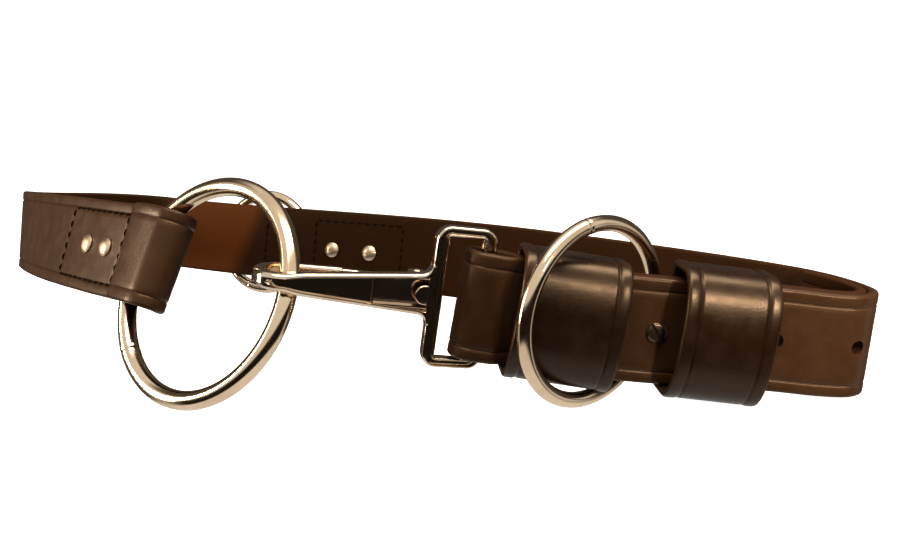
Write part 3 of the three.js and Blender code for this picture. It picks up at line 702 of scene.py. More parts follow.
def stud_profile(outer, inner, cap, shank, rim, height, dent):
    """The inner cap from its middle out, up the shank, and the outer cap from its edge to its middle."""
    inner_cap = dome(cap / 2, rim, height, inner, -1, dent)[::-1]
    outer_cap = dome(cap / 2, rim, height, outer, 1, dent)
    return np.concatenate([inner_cap, [[shank / 2, inner], [shank / 2, outer]], outer_cap])


RIVET_NAMES = ["front_rivet_1", "front_rivet_2", "back_rivet_1", "back_rivet_2"]
for name, (at, height, outer, inner) in zip(RIVET_NAMES, RIVETS):
    piece = turned(name + "_steel", stud_profile(outer + SEAT, inner - SEAT, **RIVET), at, height, steps=40)
    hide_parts(name)
    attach(piece, "belt")
print("rivets:", len(RIVET_NAMES), "with caps", RIVET["cap"], "mm across")

# %% Adjusting screw
SLOT = dict(width=1.2, depth=1.2, reach=6, turn=35)
screw_profile = np.concatenate([  # radius and offset: inner head, shank, outer head with its bevel
    dome(4.1, 0.7, 0.9, -7.1, -1)[::-1], [[2.5, -7.1], [2.5, 2.3]],
    [[3.9, 2.3], [4.1, 2.5], [4.1, 3.2], [3.6, 3.75], [3.1, 3.85], [1.6, 3.98], [0, 4.0]]])
screw = turned("adjusting_screw_steel", screw_profile, SCREW_AT, 0, steps=48)


def bar_across(place, long_way, short_way, deep_way, sizes):
    """A plain bar for cutting a slot: place + corners of the given half sizes along three directions."""
    signs = np.array([[-1, -1], [1, -1], [1, 1], [-1, 1]])
    rows = [place + end * sizes[0] * long_way + signs[:, :1] * sizes[1] * short_way
            + signs[:, 1:] * sizes[2] * deep_way for end in (-1, 1)]
    return tube("slot_tool", np.stack(rows) * MM)


middle, _, outward, width = lines_at(SCREW_AT)
slot_line = turned_about(width, outward, SLOT["turn"])
slot = bar_across(middle + 4.4 * outward, slot_line, np.cross(slot_line, outward), outward,
                  (SLOT["reach"], SLOT["width"] / 2, SLOT["depth"]))
screw = combine(screw, [slot], "DIFFERENCE")
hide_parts("adjusting_screw")
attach(screw, "belt")
print("screw slot is", SLOT["width"], "mm wide")

# %% [markdown]
# ## The snap hook
# The snap is a die casting. A square eye takes the strap's fold, a tapering back runs forward from it, a bow
# turns round at the nose and an arm comes back behind, so that the ring's wire lies in a throat between back
# and arm. A sprung gate closes the throat from behind. The casting is hollowed from the front to save metal:
# the back has a long pointed recess and the eye has a channel, and both leave narrow bright rims. The shapes
# are written in the snap's own lines, forward, up and deep, and joined into one closed mesh.

# %% The snap's own lines
SNAP = dict(heading=193.7, climb=7.7, roll=-1.8, lift=2.6, half_eye=29.0, bar=5.3, rail=4.1,
            eye_left=22.4, drop=0.6, half_thick=3.0)
HOOK = dict(root=8.7, waist_at=72.0, waist=4.7, tip=3.6, bow_at=79.0, throat=14.7, arm=3.6,
            arm_end=53.0, arm_cap=2.2, flare=4.2)
GATE = dict(at=26.0, deep=9.0, eye=3.4, half=3.8, thick=3.0, reach=56.0, pin=3.0, cheek=3.0,
            head=2.1, rounding=0.7)


def snap_lines():
    """Forward from heading and climb, up rolled about it, deep = forward x up, and the eye's bar."""
    heading, climb = math.radians(SNAP["heading"]), math.radians(SNAP["climb"])
    forward = np.array([
        math.cos(heading) * math.cos(climb), math.sin(heading) * math.cos(climb), math.sin(climb)])
    level = np.array([math.sin(heading), -math.cos(heading), 0.0])
    up = turned_about(np.cross(level, forward), forward, SNAP["roll"])
    depth = SNAP_FOLD["bulge"] - (SNAP_FOLD["room"] + THICK) / 2
    middle = beside(SNAP_FOLD["at"] - 1.2, depth, SNAP["lift"])[0]
    return forward, up, np.cross(forward, up), middle


FORWARD, UP, DEEP, SNAP_MIDDLE = snap_lines()


def on_snap(forward, up, deep):
    """Points of the snap: middle + f * forward + u * up + d * deep."""
    forward, up, deep = np.broadcast_arrays(forward, up, deep)
    return SNAP_MIDDLE + forward[..., None] * FORWARD + up[..., None] * UP + deep[..., None] * DEEP


print("the eye's bar is at", SNAP_MIDDLE.round(2).tolist())


# %% Line of the hook
PLATE_ROWS = 68


def hook_edge(plate, turn, arm, radius, plate_at, arm_at):
    """One edge of the hook in forward and deep: the plate, half a circle of a radius, and the arm."""
    return np.concatenate([
        np.stack([plate, np.full_like(plate, plate_at)], -1),
        np.stack([HOOK["bow_at"] + radius * np.cos(turn), radius + plate_at + radius * np.sin(turn)], -1),
        np.stack([arm, np.full_like(arm, arm_at)], -1)])


def hook_line():
    """Outer and inner edge of the hook, with the arm's end rounded by a quarter ellipse."""
    half, cap_reach = SNAP["half_thick"], HOOK["arm_cap"]
    plate = np.concatenate([np.linspace(21.6, 30, 22), np.linspace(31, HOOK["bow_at"], PLATE_ROWS - 22)])
    turn = np.radians(np.linspace(-90, 90, 35))[1:-1]
    arm = np.linspace(HOOK["bow_at"], HOOK["arm_end"] + cap_reach, 20)
    outer_r = (2 * half + HOOK["throat"] + HOOK["arm"]) / 2
    back = -half + 2 * outer_r
    outer = hook_edge(plate, turn, arm, outer_r, -half, back)
    inner = hook_edge(plate, turn, arm, HOOK["throat"] / 2, half, back - HOOK["arm"])
    end = np.radians(np.linspace(0, 80, 7))[1:]
    middle = (outer[-1] + inner[-1]) / 2
    half_arm = (outer[-1] - inner[-1]) / 2
    cap = middle + np.stack([-np.sin(end) * cap_reach, 0 * end], -1)
    outer = np.concatenate([outer, cap + np.cos(end)[:, None] * half_arm])
    inner = np.concatenate([inner, cap - np.cos(end)[:, None] * half_arm])
    return outer, inner


def hook_width(outer, inner):
    """Half width: straight from root to waist to tip, a quarter circle at the eye, drawn in at the nose."""
    forward, flare_size = outer[:, 0], HOOK["flare"]
    past = np.arange(len(forward)) >= PLATE_ROWS
    taper = np.interp(forward, [SNAP["eye_left"], HOOK["waist_at"], HOOK["bow_at"]],
                      [HOOK["root"], HOOK["waist"], HOOK["tip"]])
    flare = np.clip((SNAP["eye_left"] + flare_size - forward) / flare_size, 0, 1)
    nose = smooth((forward - HOOK["bow_at"]) / 12.0)
    plate_taper = taper + flare_size * (1 - np.sqrt(1 - flare ** 2))
    taper = np.where(past, HOOK["tip"] - 0.3 * nose, plate_taper)
    thick = np.linalg.norm(outer - inner, axis=-1)
    end = np.minimum(thick / HOOK["arm"], 1)
    return taper * np.where(past, 0.45 + 0.55 * end, 1)


outer, inner = hook_line()
half_width = hook_width(outer, inner)
print("hook rows:", len(outer), "and its nose reaches", round(float(outer[:, 0].max()), 1), "mm forward")


# %% Back, bow and arm
def hollowed_section(half_width, half_thick, corner, hollow, depth):
    """Across and out of each point of a rounded bar hollowed on its outer side, for every row at once."""
    w, h, r, g, d = (np.asarray(v, float)[:, None] for v in (half_width, half_thick, corner, hollow, depth))
    quarter = np.linspace(0, np.pi / 2, 6)[None]
    corner_across, corner_out = w - r + r * np.cos(quarter), h - r + r * np.sin(quarter)
    right = np.concatenate([g + 0 * w, g - 0.12, g - 0.3, 0.5 * g, 0 * g], 1)
    drop = np.concatenate([h + 0 * w, h - np.minimum(0.2, d), h - d, h - d, h - d], 1)
    across = np.concatenate([corner_across, right], 1)
    out = np.concatenate([corner_out, drop], 1)
    across = np.concatenate([across, -across[:, -2::-1], -corner_across, corner_across[:, ::-1]], 1)
    out = np.concatenate([out, out[:, -2::-1], -corner_out, -corner_out[:, ::-1]], 1)
    return across, out


HOLLOW = dict(last_row=76, rim=1.7, depth=2.0, least=0.35, point_at=85.6, blunt=1.1, from_eye=23.2)
forward, row = outer[:, 0], np.arange(len(outer))
half_thick = np.linalg.norm(outer - inner, axis=-1) / 2
out_way = (outer - inner) / (2 * half_thick[:, None])
facing = row < HOLLOW["last_row"]
pointed = np.sqrt(HOLLOW["blunt"] * (HOLLOW["point_at"] - forward).clip(0))
hollow = np.minimum(np.minimum(half_width, 9.2) - HOLLOW["rim"], pointed)
hollow = np.where(facing, hollow, HOLLOW["least"]).clip(HOLLOW["least"])
hollow = np.where(forward < 24.2, np.minimum(hollow, 6.95), hollow)
depth = HOLLOW["depth"] * smooth((hollow - HOLLOW["least"]) / 0.7)
depth = depth * smooth((forward - HOLLOW["from_eye"]) / 0.7)
corner = np.minimum(np.interp(row, [0, 60, 80], [1.45, 1.5, 2.1]), 0.92 * half_thick)
across, out = hollowed_section(half_width, half_thick, corner, hollow, depth * facing)
place = ((outer + inner) / 2)[:, None] + out[..., None] * out_way[:, None]
hook = tube("snap_body_steel", on_snap(place[..., 0], across, place[..., 1]) * MM)
print("the recess is up to", round(float(2 * hollow.max()), 1), "mm wide")

# %% The square eye
def eye_path():
    """The eye's outer outline, a rectangle with quarter circles at its corners, and its outward normals."""
    radius, left, right = 5.9, SNAP["eye_left"], -SNAP["bar"] / 2
    top, foot = SNAP["half_eye"] - SNAP["drop"], -SNAP["half_eye"] - SNAP["drop"]
    corners = np.array([(left - radius, top - radius), (right + radius, top - radius),
                        (right + radius, foot + radius), (left - radius, foot + radius)])
    angle = np.linspace(0, np.pi / 2, 8) + np.arange(4)[:, None] * np.pi / 2
    normal = np.stack([np.cos(angle), np.sin(angle)], -1)
    return (corners[:, None] + radius * normal).reshape(-1, 2), normal.reshape(-1, 2)


def channel_section():
    """Outward and deep round the eye's bar: rounded corners and a channel in front between two rims."""
    half, thick, r = SNAP["bar"] / 2, SNAP["half_thick"], 1.3
    quarter = np.linspace(0, np.pi / 2, 7)
    corner = np.stack([half - r + r * np.cos(quarter), thick - r + r * np.sin(quarter)], -1)
    front = np.array([[1.25, 2.98], [1.12, 2.8], [0.95, 0.7], [-1.15, 0.7], [-1.35, 2.3], [-1.5, 2.62]])
    inner_corner = np.stack([-half + 0.8 - 0.8 * np.sin(quarter), 1.95 + 0.8 * np.cos(quarter)], -1)
    back = np.concatenate([corner * [-1, -1], (corner * [1, -1])[::-1]])
    line = np.concatenate([corner, front, [[-1.75, 2.75]], inner_corner, back])
    return line * [1, -1]


eye_line, eye_normal = eye_path()
section = channel_section()
narrowing = 1 - (1 - SNAP["rail"] / SNAP["bar"]) * eye_normal[:, 1] ** 2
inwards = (section[:, 0] - SNAP["bar"] / 2) * narrowing[:, None]
plan = eye_line[:, None] + inwards[..., None] * eye_normal[:, None]
deep = np.broadcast_to(section[None, :, 1], plan.shape[:2])
eye = tube("snap_eye", on_snap(plan[..., 0], plan[..., 1], deep) * MM, close_rows=True)
print("eye of the snap:", 2 * SNAP["half_eye"], "by", SNAP["eye_left"] + SNAP["bar"] / 2, "mm")


# %% Slabs with rounded edges
def slab(name, outline, low, high, edge, steps=5, front=False):
    """An outline in forward and deep carried up from low to high, or one in forward and up carried deep.

    Each end is drawn in by a quarter circle: a row moved in along its normals by r (1 - sin a) lies
    r (1 - cos a) short of the end.
    """
    outline = np.asarray(outline, float)
    tangent = unit(np.roll(outline, -1, 0) - np.roll(outline, 1, 0))
    normal = np.stack([tangent[:, 1], -tangent[:, 0]], -1)
    x, y = outline.T
    normal = normal * np.sign(np.sum(x * np.roll(y, -1) - np.roll(x, -1) * y))
    a = np.linspace(0, np.pi / 2, steps)
    inset = edge * np.concatenate([1 - np.sin(a), (1 - np.sin(a))[::-1]])
    level = np.concatenate([low + edge * (1 - np.cos(a)), (high - edge * (1 - np.cos(a)))[::-1]])
    place = outline[None] - inset[:, None, None] * normal[None]
    if front:
        return tube(name, on_snap(place[..., 0], place[..., 1], level[:, None]) * MM)
    return tube(name, on_snap(place[..., 0], level[:, None], place[..., 1]) * MM)


def arc(x, y, radius, start, end, count=12):
    """Points x + r cos a, y + r sin a between two angles in degrees."""
    a = np.radians(np.linspace(start, end, count))
    return np.stack([x + radius * np.cos(a), y + radius * np.sin(a)], -1)


at, deep_at = GATE["at"], GATE["deep"]
cheek_line = np.concatenate([
    [[at - 4.6, 1.0], [at - 4.2, deep_at - 2]], arc(at, deep_at, 4, 180, 0, 21)[1:-1],
    [[at + 4.2, deep_at - 2], [at + 5.2, 1.0]]])
near = GATE["half"] + GAP
far = near + GATE["cheek"]
cheeks = [slab("cheek", cheek_line, low, low + GATE["cheek"], 0.4) for low in (near, -far)]
print("room between the cheeks:", round(2 * near, 1), "mm")


# %% Window, tongue and pin seat in the back
def box_lines(forward_low, forward_high, half_up, radius, centre=0.0):
    """A rounded rectangle in forward and up, as rows for an upright tool."""
    right, left, up = forward_high - radius, forward_low + radius, half_up - radius
    corners = [(right, up, 0), (left, up, 90), (left, -up, 180), (right, -up, 270)]
    return np.concatenate([arc(x, centre + y, radius, start, start + 90, 6) for x, y, start in corners])


# forward from and to, half height, corner, middle; then deep from and to, and rounding
window_frame = slab("window_frame", box_lines(19.4, 45.5, 6.1, 0.8, 0.4), -2.35, -0.7, 0.3, front=True)
window = slab("window", box_lines(22.4, 44.7, 5.3, 0.6, 0.4), -2.9, 1.6, 0.02, front=True)
tongue_line = np.concatenate([[[21.6, -4.1]], arc(24.4, -0.15, 3.95, -90, 90, 25), [[21.6, 3.8]]])
tongue = slab("tongue", tongue_line, -2.75, -1.3, 0.45, front=True)
snap_body = combine(hook, [eye, *cheeks, window_frame], "UNION")
snap_body = combine(snap_body, [window], "DIFFERENCE")
snap_body = combine(snap_body, [tongue], "UNION")
pin_seat_line = arc(at, deep_at, GATE["pin"] / 2 + 0.05, 0, 360, 25)[:-1]
snap_body = combine(snap_body, [slab("pin_seat", pin_seat_line, -12, 12, 0.0)], "DIFFERENCE")
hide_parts("snap_body")
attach(snap_body, "belt")
print("snap body:", len(snap_body.data.polygons), "faces")

# %% [markdown]
# The gate is a flat lever that turns on a pin between two cheeks behind the back, and a small spring keeps
# its end against the arm. It rides on its own body, so that it opens with the joint. The pin is peened at
# both ends, and its line is the joint's axis.

# %% Gate
rest = SNAP["half_thick"] + HOOK["throat"] - GAP
reach = GATE["reach"]
gate_line = np.concatenate([
    arc(at, deep_at, GATE["eye"], 90, 270, 17),
    [[at + 8, deep_at - GATE["eye"] + 1.4], [at + 18, deep_at + 2.0], [reach - 6, rest - GATE["thick"]]],
    arc(reach - 1.5, rest - 1.5, 1.5, -90, 90, 9), [[reach - 6, rest], [at + 6, deep_at + GATE["eye"]]]])
gate = slab("snap_gate_steel", gate_line, -GATE["half"], GATE["half"], GATE["rounding"])
gate_hole = slab("gate_hole", arc(at, deep_at, GATE["pin"] / 2 + GAP, 0, 360, 33)[:-1], -9, 9, 0.0)
gate = combine(gate, [gate_hole], "DIFFERENCE")
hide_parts("snap_gate")
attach(gate, "gate")
print("gate reaches", round(reach - at, 1), "mm from its pin")

# %% Gate pin
head = np.linspace(0, np.pi / 2, 8)
cap = np.stack([GATE["head"] * np.sin(head), far + 0.1 + 0.8 * np.cos(head)], -1)
shank = np.array([[GATE["head"], far + 0.05], [GATE["pin"] / 2, far + 0.05]])
half_pin = np.concatenate([cap, shank])
pin_profile = np.concatenate([half_pin, (half_pin * [1, -1])[::-1]])
angle = np.linspace(0, 2 * np.pi, 32, endpoint=False)
pin_points = on_snap(at + pin_profile[:, :1] * np.cos(angle), pin_profile[:, 1:] + 0 * angle,
                     deep_at + pin_profile[:, :1] * np.sin(angle))
pin = tube("gate_pin_steel", pin_points * MM)
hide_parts("gate_pin")
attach(pin, "belt")
print("gate pin:", GATE["pin"], "mm thick with heads of", 2 * GATE["head"], "mm")

# %% [markdown]
# ## The stitches
# The fold at the left and the tab are sewn with a waxed thread in a saddle stitch: a row of short raised
# dashes whose ends dive into the leather. Each stitch is a little tube along an arched line. All the stitches
# of a seam are worked out at once, as one array of rows, and become one mesh of separate closed tubes.

# %% Places of the stitches
def stitch_ends(corners, pitch, length):
    """Start and end of each stitch along straight seams, as distance and height, evenly spaced."""
    ends = []
    for start, end in corners:
        start, end = np.array(start, float), np.array(end, float)
        reach = np.linalg.norm(end - start)
        count = max(int(round(reach / pitch)), 1)
        middle = (np.arange(count) + 0.5) / count
        half = length / 2 / reach
        ends.append(np.stack([start + (end - start) * (middle - half)[:, None],
                              start + (end - start) * (middle + half)[:, None]], 1))
    return np.concatenate(ends)


def rectangle(start, end, height):
    """The four sides of a seam round a rectangle."""
    return [((start, height), (end, height)), ((end, height), (end, -height)),
            ((end, -height), (start, -height)), ((start, -height), (start, height))]


front_seam = stitch_ends(rectangle(SEAM["start"], SEAM["end"], SEAM["height"]), 5.4, 3.9)
tab_seam = stitch_ends(rectangle(400.0, 457.5, 15.8) + rectangle(365.7, 379.0, 12.0), 5.2, 3.8)
print("stitches:", len(front_seam), "at the front and", len(tab_seam), "on the tab")


# %% Stitches
def sewn(name, ends, face_offset, side, radius=0.43, rows=9, around=6):
    """Tubes of radius r (1 - 0.9 x^6)^(1/2), lifted by r (1.1 - 1.9 x^2) off the face, x = 2 t - 1."""
    t = np.linspace(0, 1, rows)
    x = 2 * t - 1
    line = ends[:, :1] + (ends[:, 1:] - ends[:, :1]) * t[None, :, None]
    distance, height = line[..., 0].ravel(), line[..., 1].ravel()
    lift = side * np.tile(radius * (1.1 - 1.9 * x ** 2), len(ends))
    middle = beside(distance, face_offset(distance) + lift, height).reshape(len(ends), rows, 3)
    normal = side * frame_at(distance)[2].reshape(len(ends), rows, 3)
    tangent = unit(np.gradient(middle, axis=1))
    across = unit(np.cross(tangent, normal))
    normal = np.cross(across, tangent)
    b = np.linspace(0, 2 * np.pi, around, endpoint=False)
    thick = radius * np.sqrt(1 - 0.9 * x ** 6)[None, :, None, None]
    points = middle[:, :, None] + thick * (
        np.cos(b)[:, None] * across[:, :, None] + np.sin(b)[:, None] * normal[:, :, None])
    each = rows * around
    start = np.arange(len(ends))[:, None] * each
    quads = (start[..., None] + grid_faces(rows, around, False, True)[None]).reshape(-1, 4)
    first = start + np.arange(around)[::-1]
    last = start + np.arange(around) + (rows - 1) * around
    piece = mesh_object(name, points * MM, quads, [*first, *last])
    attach(piece, "belt")
    return piece


def fold_face(layer, side):
    """The face of the fold's outer layer (0) or inner layer (1), as a function of the distance."""
    return lambda d: fold_layers(RING_FOLD, d, 1)[layer] + side * THICK / 2 - side * SEAM["depth"]


seams = [sewn("front_stitches", front_seam, fold_face(0, 1), 1),
         sewn("front_stitches_inside", front_seam, fold_face(1, -1), -1),
         sewn("tab_stitches", tab_seam, lambda d: tab_offset(d) + TAB["thick"] - 0.2, 1),
         sewn("tab_stitches_inside", tab_seam, lambda d: 0 * d - THICK / 2 + 0.05, -1)]
print("sewn pieces:", [seam.name for seam in seams])

# %% [markdown]
# ## Finishes
# Three effects are shared, so each is a node group. The grain gives the fine pores and the soft creases of
# waxed leather. The tone gives slow changes of colour. The marks give fine polishing lines on metal.
# Each material keeps its own Principled shader and sets its constant values on that shader.

# %% Node helpers
def node(tree, kind, **settings):
    """A node of a kind with its inputs set by name and everything else as attributes."""
    made = tree.nodes.new(kind)
    for key, value in settings.items():
        if key.replace("_", " ") in made.inputs:
            made.inputs[key.replace("_", " ")].default_value = value
        else:
            setattr(made, key, value)
    return made


def linked(tree, *pairs):
    """A link from the first socket of each pair to the second."""
    for source, target in pairs:
        tree.links.new(source, target)


def new_group(name, inputs, outputs):
    """An empty node group with a vector and some numbers going in, and numbers coming out."""
    tree = bpy.data.node_groups.new(name, "ShaderNodeTree")
    tree.interface.new_socket("Vector", in_out="INPUT", socket_type="NodeSocketVector")
    for label, value in inputs.items():
        socket = tree.interface.new_socket(label, in_out="INPUT", socket_type="NodeSocketFloat")
        socket.default_value = value
    for label in outputs:
        tree.interface.new_socket(label, in_out="OUTPUT", socket_type="NodeSocketFloat")
    return tree, node(tree, "NodeGroupInput").outputs, node(tree, "NodeGroupOutput").inputs


def rgb(red, green, blue):
    """A colour in the form that a socket takes."""
    return red, green, blue, 1.0


print("a colour socket takes", len(rgb(0, 0, 0)), "numbers")

# %% Leather grain group
grain, given, made = new_group(
    "leather grain", {"Pore size": 900.0, "Crease size": 260.0, "Crease depth": 0.5}, ["Height"])
cells = node(grain, "ShaderNodeTexVoronoi", feature="SMOOTH_F1", Smoothness=0.6, Randomness=1.0)
wrinkle = node(grain, "ShaderNodeTexNoise", Detail=5.0, Roughness=0.62, Distortion=0.35)
deep_part = node(grain, "ShaderNodeMath", operation="MULTIPLY")
total = node(grain, "ShaderNodeMath", operation="ADD")
linked(grain, (given["Vector"], cells.inputs["Vector"]), (given["Vector"], wrinkle.inputs["Vector"]),
       (given["Pore size"], cells.inputs["Scale"]), (given["Crease size"], wrinkle.inputs["Scale"]),
       (wrinkle.outputs["Fac"], deep_part.inputs[0]), (given["Crease depth"], deep_part.inputs[1]),
       (cells.outputs["Distance"], total.inputs[0]), (deep_part.outputs[0], total.inputs[1]),
       (total.outputs[0], made["Height"]))
print("grain group nodes:", len(grain.nodes))

# %% Slow tone group
tone, given, made = new_group("slow tone", {"Patch size": 14.0, "Mottle size": 120.0}, ["Patches", "Mottle"])
patches = node(tone, "ShaderNodeTexNoise", Detail=2.0, Roughness=0.5)
mottle = node(tone, "ShaderNodeTexNoise", Detail=4.0, Roughness=0.6)
for texture, size, label in ((patches, "Patch size", "Patches"), (mottle, "Mottle size", "Mottle")):
    linked(tone, (given["Vector"], texture.inputs["Vector"]), (given[size], texture.inputs["Scale"]),
           (texture.outputs["Fac"], made[label]))
print("tone group outputs:", [socket.name for socket in made if socket.name])

# %% Polishing marks group
marks, given, made = new_group("polishing marks", {"Size": 500.0}, ["Height", "Haze"])
stretch = node(marks, "ShaderNodeMapping", Scale=(1.0, 0.18, 0.5))
lines = node(marks, "ShaderNodeTexNoise", Detail=3.0, Roughness=0.7)
haze = node(marks, "ShaderNodeTexNoise", Scale=60.0, Detail=3.0, Roughness=0.55)
linked(marks, (given["Vector"], stretch.inputs["Vector"]), (given["Vector"], haze.inputs["Vector"]),
       (stretch.outputs["Vector"], lines.inputs["Vector"]), (given["Size"], lines.inputs["Scale"]),
       (lines.outputs["Fac"], made["Height"]), (haze.outputs["Fac"], made["Haze"]))
print("marks group nodes:", len(marks.nodes))

# %% A material with a shader and object coordinates
def new_material(name, **constants):
    """A node material with its shader's constants set by socket name, and its object coordinates."""
    material = bpy.data.materials.new(name)
    material.use_nodes = True
    tree = material.node_tree
    shader = next(n for n in tree.nodes if n.type == "BSDF_PRINCIPLED").inputs
    for key, value in constants.items():
        shader[key.replace("_", " ")].default_value = value
    return material, tree, shader, node(tree, "ShaderNodeTexCoord").outputs["Object"]


def group_node(tree, group, vector, **values):
    """The outputs of a group placed in a material and fed with a vector."""
    placed = node(tree, "ShaderNodeGroup", node_tree=group)
    for key, value in values.items():
        placed.inputs[key.replace("_", " ")].default_value = value
    linked(tree, (vector, placed.inputs["Vector"]))
    return placed.outputs


def mixed(tree, factor, first, second):
    """A colour mix whose inputs are sockets or colours."""
    mix = node(tree, "ShaderNodeMix", data_type="RGBA")
    for label, value in (("Factor", factor), ("A", first), ("B", second)):
        if isinstance(value, bpy.types.NodeSocket):
            tree.links.new(value, mix.inputs[label])
        else:
            mix.inputs[label].default_value = value
    return mix.outputs["Result"]


def ranged(tree, value, low, high, to_low=0.0, to_high=1.0, **settings):
    """A value taken from one range to another."""
    change = node(tree, "ShaderNodeMapRange", From_Min=low, From_Max=high,
                  To_Min=to_low, To_Max=to_high, **settings)
    linked(tree, (value, change.inputs["Value"]))
    return change.outputs["Result"]


def bumped(tree, height, strength, distance):
    """A bump from a height."""
    bump = node(tree, "ShaderNodeBump", Strength=strength, Distance=distance)
    linked(tree, (height, bump.inputs["Height"]))
    return bump.outputs["Normal"]


print("groups ready to place:", [group.name for group in bpy.data.node_groups])

# %% [markdown]
# The leather is dyed dark brown, waxed and burnished. Its grain side is smooth with fine pores, the back of
# the strap is a little redder and duller, and the cut edges are darkened. Inside the belt's back a patch of
# painted light makes the back lighter and redder. The strap's own numbers at each point tell the material
# which side it is on and where that light is painted.

# %% Leather
# The second inside colour is painted light: the lit, redder colour of the patch inside the back.
INSIDE_DARK, INSIDE_PAINTED_LIGHT = rgb(0.017, 0.0064, 0.0020), rgb(0.085, 0.0245, 0.0056)
CUT_EDGE, WARM_SHINE = rgb(0.030, 0.013, 0.0055), rgb(1.0, 0.74, 0.5)
INSIDE_DULLNESS, INSIDE_SHINE, EDGE_COVER = 0.12, 0.06, 0.75
RELIEF = 0.00025  # height of the grain in metres


def leather_material(name, dark, mid, light, rough, shine, crease, relief):
    """Brown in slow patches between two colours, redder on the flesh side, dark at the cut edges, lighter and
    redder where light is painted.
    """
    material, tree, shader, place = new_material(name, Specular_Tint=WARM_SHINE)
    pores = group_node(tree, grain, place, Crease_depth=crease)
    slow = group_node(tree, tone, place)
    flesh, rim, worn = (node(tree, "ShaderNodeAttribute", attribute_name=label).outputs["Fac"]
                        for label in ("flesh", "edge", "worn"))
    base = mixed(tree, ranged(tree, slow["Patches"], 0.3, 0.7), dark, mid)
    base = mixed(tree, ranged(tree, slow["Mottle"], 0.45, 0.75, 0, 0.35), base, light)
    # Painted light: over the patch inside the back the flesh colour turns lighter and redder.
    base = mixed(tree, flesh, base, mixed(tree, worn, INSIDE_DARK, INSIDE_PAINTED_LIGHT))
    base = mixed(tree, ranged(tree, rim, 0, 1, 0, EDGE_COVER), base, CUT_EDGE)
    gloss = ranged(tree, slow["Mottle"], 0.3, 0.7, rough - 0.05, rough + 0.07)
    duller = node(tree, "ShaderNodeMath", operation="MULTIPLY_ADD")
    duller.inputs[1].default_value = INSIDE_DULLNESS
    linked(tree, (base, shader["Base Color"]), (flesh, duller.inputs[0]), (gloss, duller.inputs[2]),
           (duller.outputs[0], shader["Roughness"]),
           (ranged(tree, flesh, 0, 1, shine, INSIDE_SHINE), shader["Specular IOR Level"]),
           (bumped(tree, pores["Height"], relief, RELIEF), shader["Normal"]))
    return material


strap_leather = leather_material(
    "strap_leather", rgb(0.026, 0.0105, 0.0040), rgb(0.040, 0.0175, 0.0070), rgb(0.055, 0.0265, 0.0120),
    rough=0.36, shine=0.3, crease=0.3, relief=0.17)
# Painted shade: the keepers are of the strap's leather, but their colours are painted about three times
# darker for the shade on the middle of the belt.
keeper_leather = leather_material(
    "keeper_leather", rgb(0.008, 0.0026, 0.0007), rgb(0.012, 0.0042, 0.0012), rgb(0.020, 0.0080, 0.0027),
    rough=0.31, shine=0.42, crease=0.1, relief=0.09)
print("leather materials:", strap_leather.name, keeper_leather.name)

# %% [markdown]
# The rings and the snap are polished and only a little hazy. The rivets are duller, the screw is nearly
# black, and all the metal has fine polishing lines. The thread is nearly black with wax.

# %% Metals
def metal_material(name, clean, stained, rough, haze):
    """Polished metal: base colour a little browner and rougher where the haze is."""
    material, tree, shader, place = new_material(name, Metallic=1.0)
    polish = group_node(tree, marks, place)
    cloud = ranged(tree, polish["Haze"], 0.4, 0.75)
    linked(tree, (mixed(tree, cloud, clean, stained), shader["Base Color"]),
           (ranged(tree, polish["Haze"], 0.35, 0.75, rough, rough + haze), shader["Roughness"]),
           (bumped(tree, polish["Height"], 0.05, 0.00008), shader["Normal"]))
    return material


ring_metal = metal_material("ring_nickel", rgb(0.82, 0.62, 0.42), rgb(0.66, 0.48, 0.31), 0.1, 0.1)
snap_metal = metal_material("snap_chrome", rgb(0.76, 0.61, 0.46), rgb(0.62, 0.48, 0.35), 0.08, 0.08)
stud_metal = metal_material("stud_nickel", rgb(0.60, 0.46, 0.31), rgb(0.42, 0.31, 0.20), 0.34, 0.12)
# The screw is given a nearly black colour.
screw_metal = metal_material("screw_dark_metal", rgb(0.10, 0.07, 0.045), rgb(0.05, 0.034, 0.02), 0.3, 0.12)
print("metals:", [metal.name for metal in (ring_metal, snap_metal, stud_metal, screw_metal)])


# %% Thread and sheet
def flecked_material(name, scale, dark, light, **constants):
    """A material whose colour goes from dark to light with a fine noise, and the noise's socket."""
    material, tree, shader, place = new_material(name, **constants)
    noise = node(tree, "ShaderNodeTexNoise", Scale=scale, Detail=2.0)
    linked(tree, (place, noise.inputs["Vector"]),
           (mixed(tree, noise.outputs["Fac"], dark, light), shader["Base Color"]))
    return material, tree, shader, noise.outputs["Fac"]


thread, tree, shader, twist = flecked_material(
    "waxed_thread", 2500.0, rgb(0.003, 0.0015, 0.001), rgb(0.008, 0.004, 0.0025),
    Roughness=0.75, Specular_IOR_Level=0.03)
linked(tree, (bumped(tree, twist, 0.3, 0.0001), shader["Normal"]))
paper = flecked_material("pale_sheet", 8.0, rgb(0.86, 0.86, 0.86), rgb(0.9, 0.9, 0.9), Roughness=0.9,
                         Emission_Color=rgb(1, 1, 1), Emission_Strength=1.0)[0]
print("thread and sheet:", thread.name, paper.name)

# %% Which piece has which finish
finishes = {
    strap_leather: ["strap", "back_tab_leather"],
    keeper_leather: ["left_keeper_leather", "right_keeper_leather"],
    ring_metal: ["big_ring_steel", "slide_ring_steel", "back_ring_steel"],
    snap_metal: ["snap_body_steel", "snap_gate_steel", "gate_pin_steel"],
    stud_metal: [name + "_steel" for name in RIVET_NAMES], screw_metal: ["adjusting_screw_steel"],
    thread: [seam.name for seam in seams], paper: [table.name]}
for material, names in finishes.items():
    for name in names:
        mesh = bpy.data.objects[name].data
        mesh.materials.clear()
        mesh.materials.append(material)
print("pieces with a finish:", sum(len(names) for names in finishes.values()))

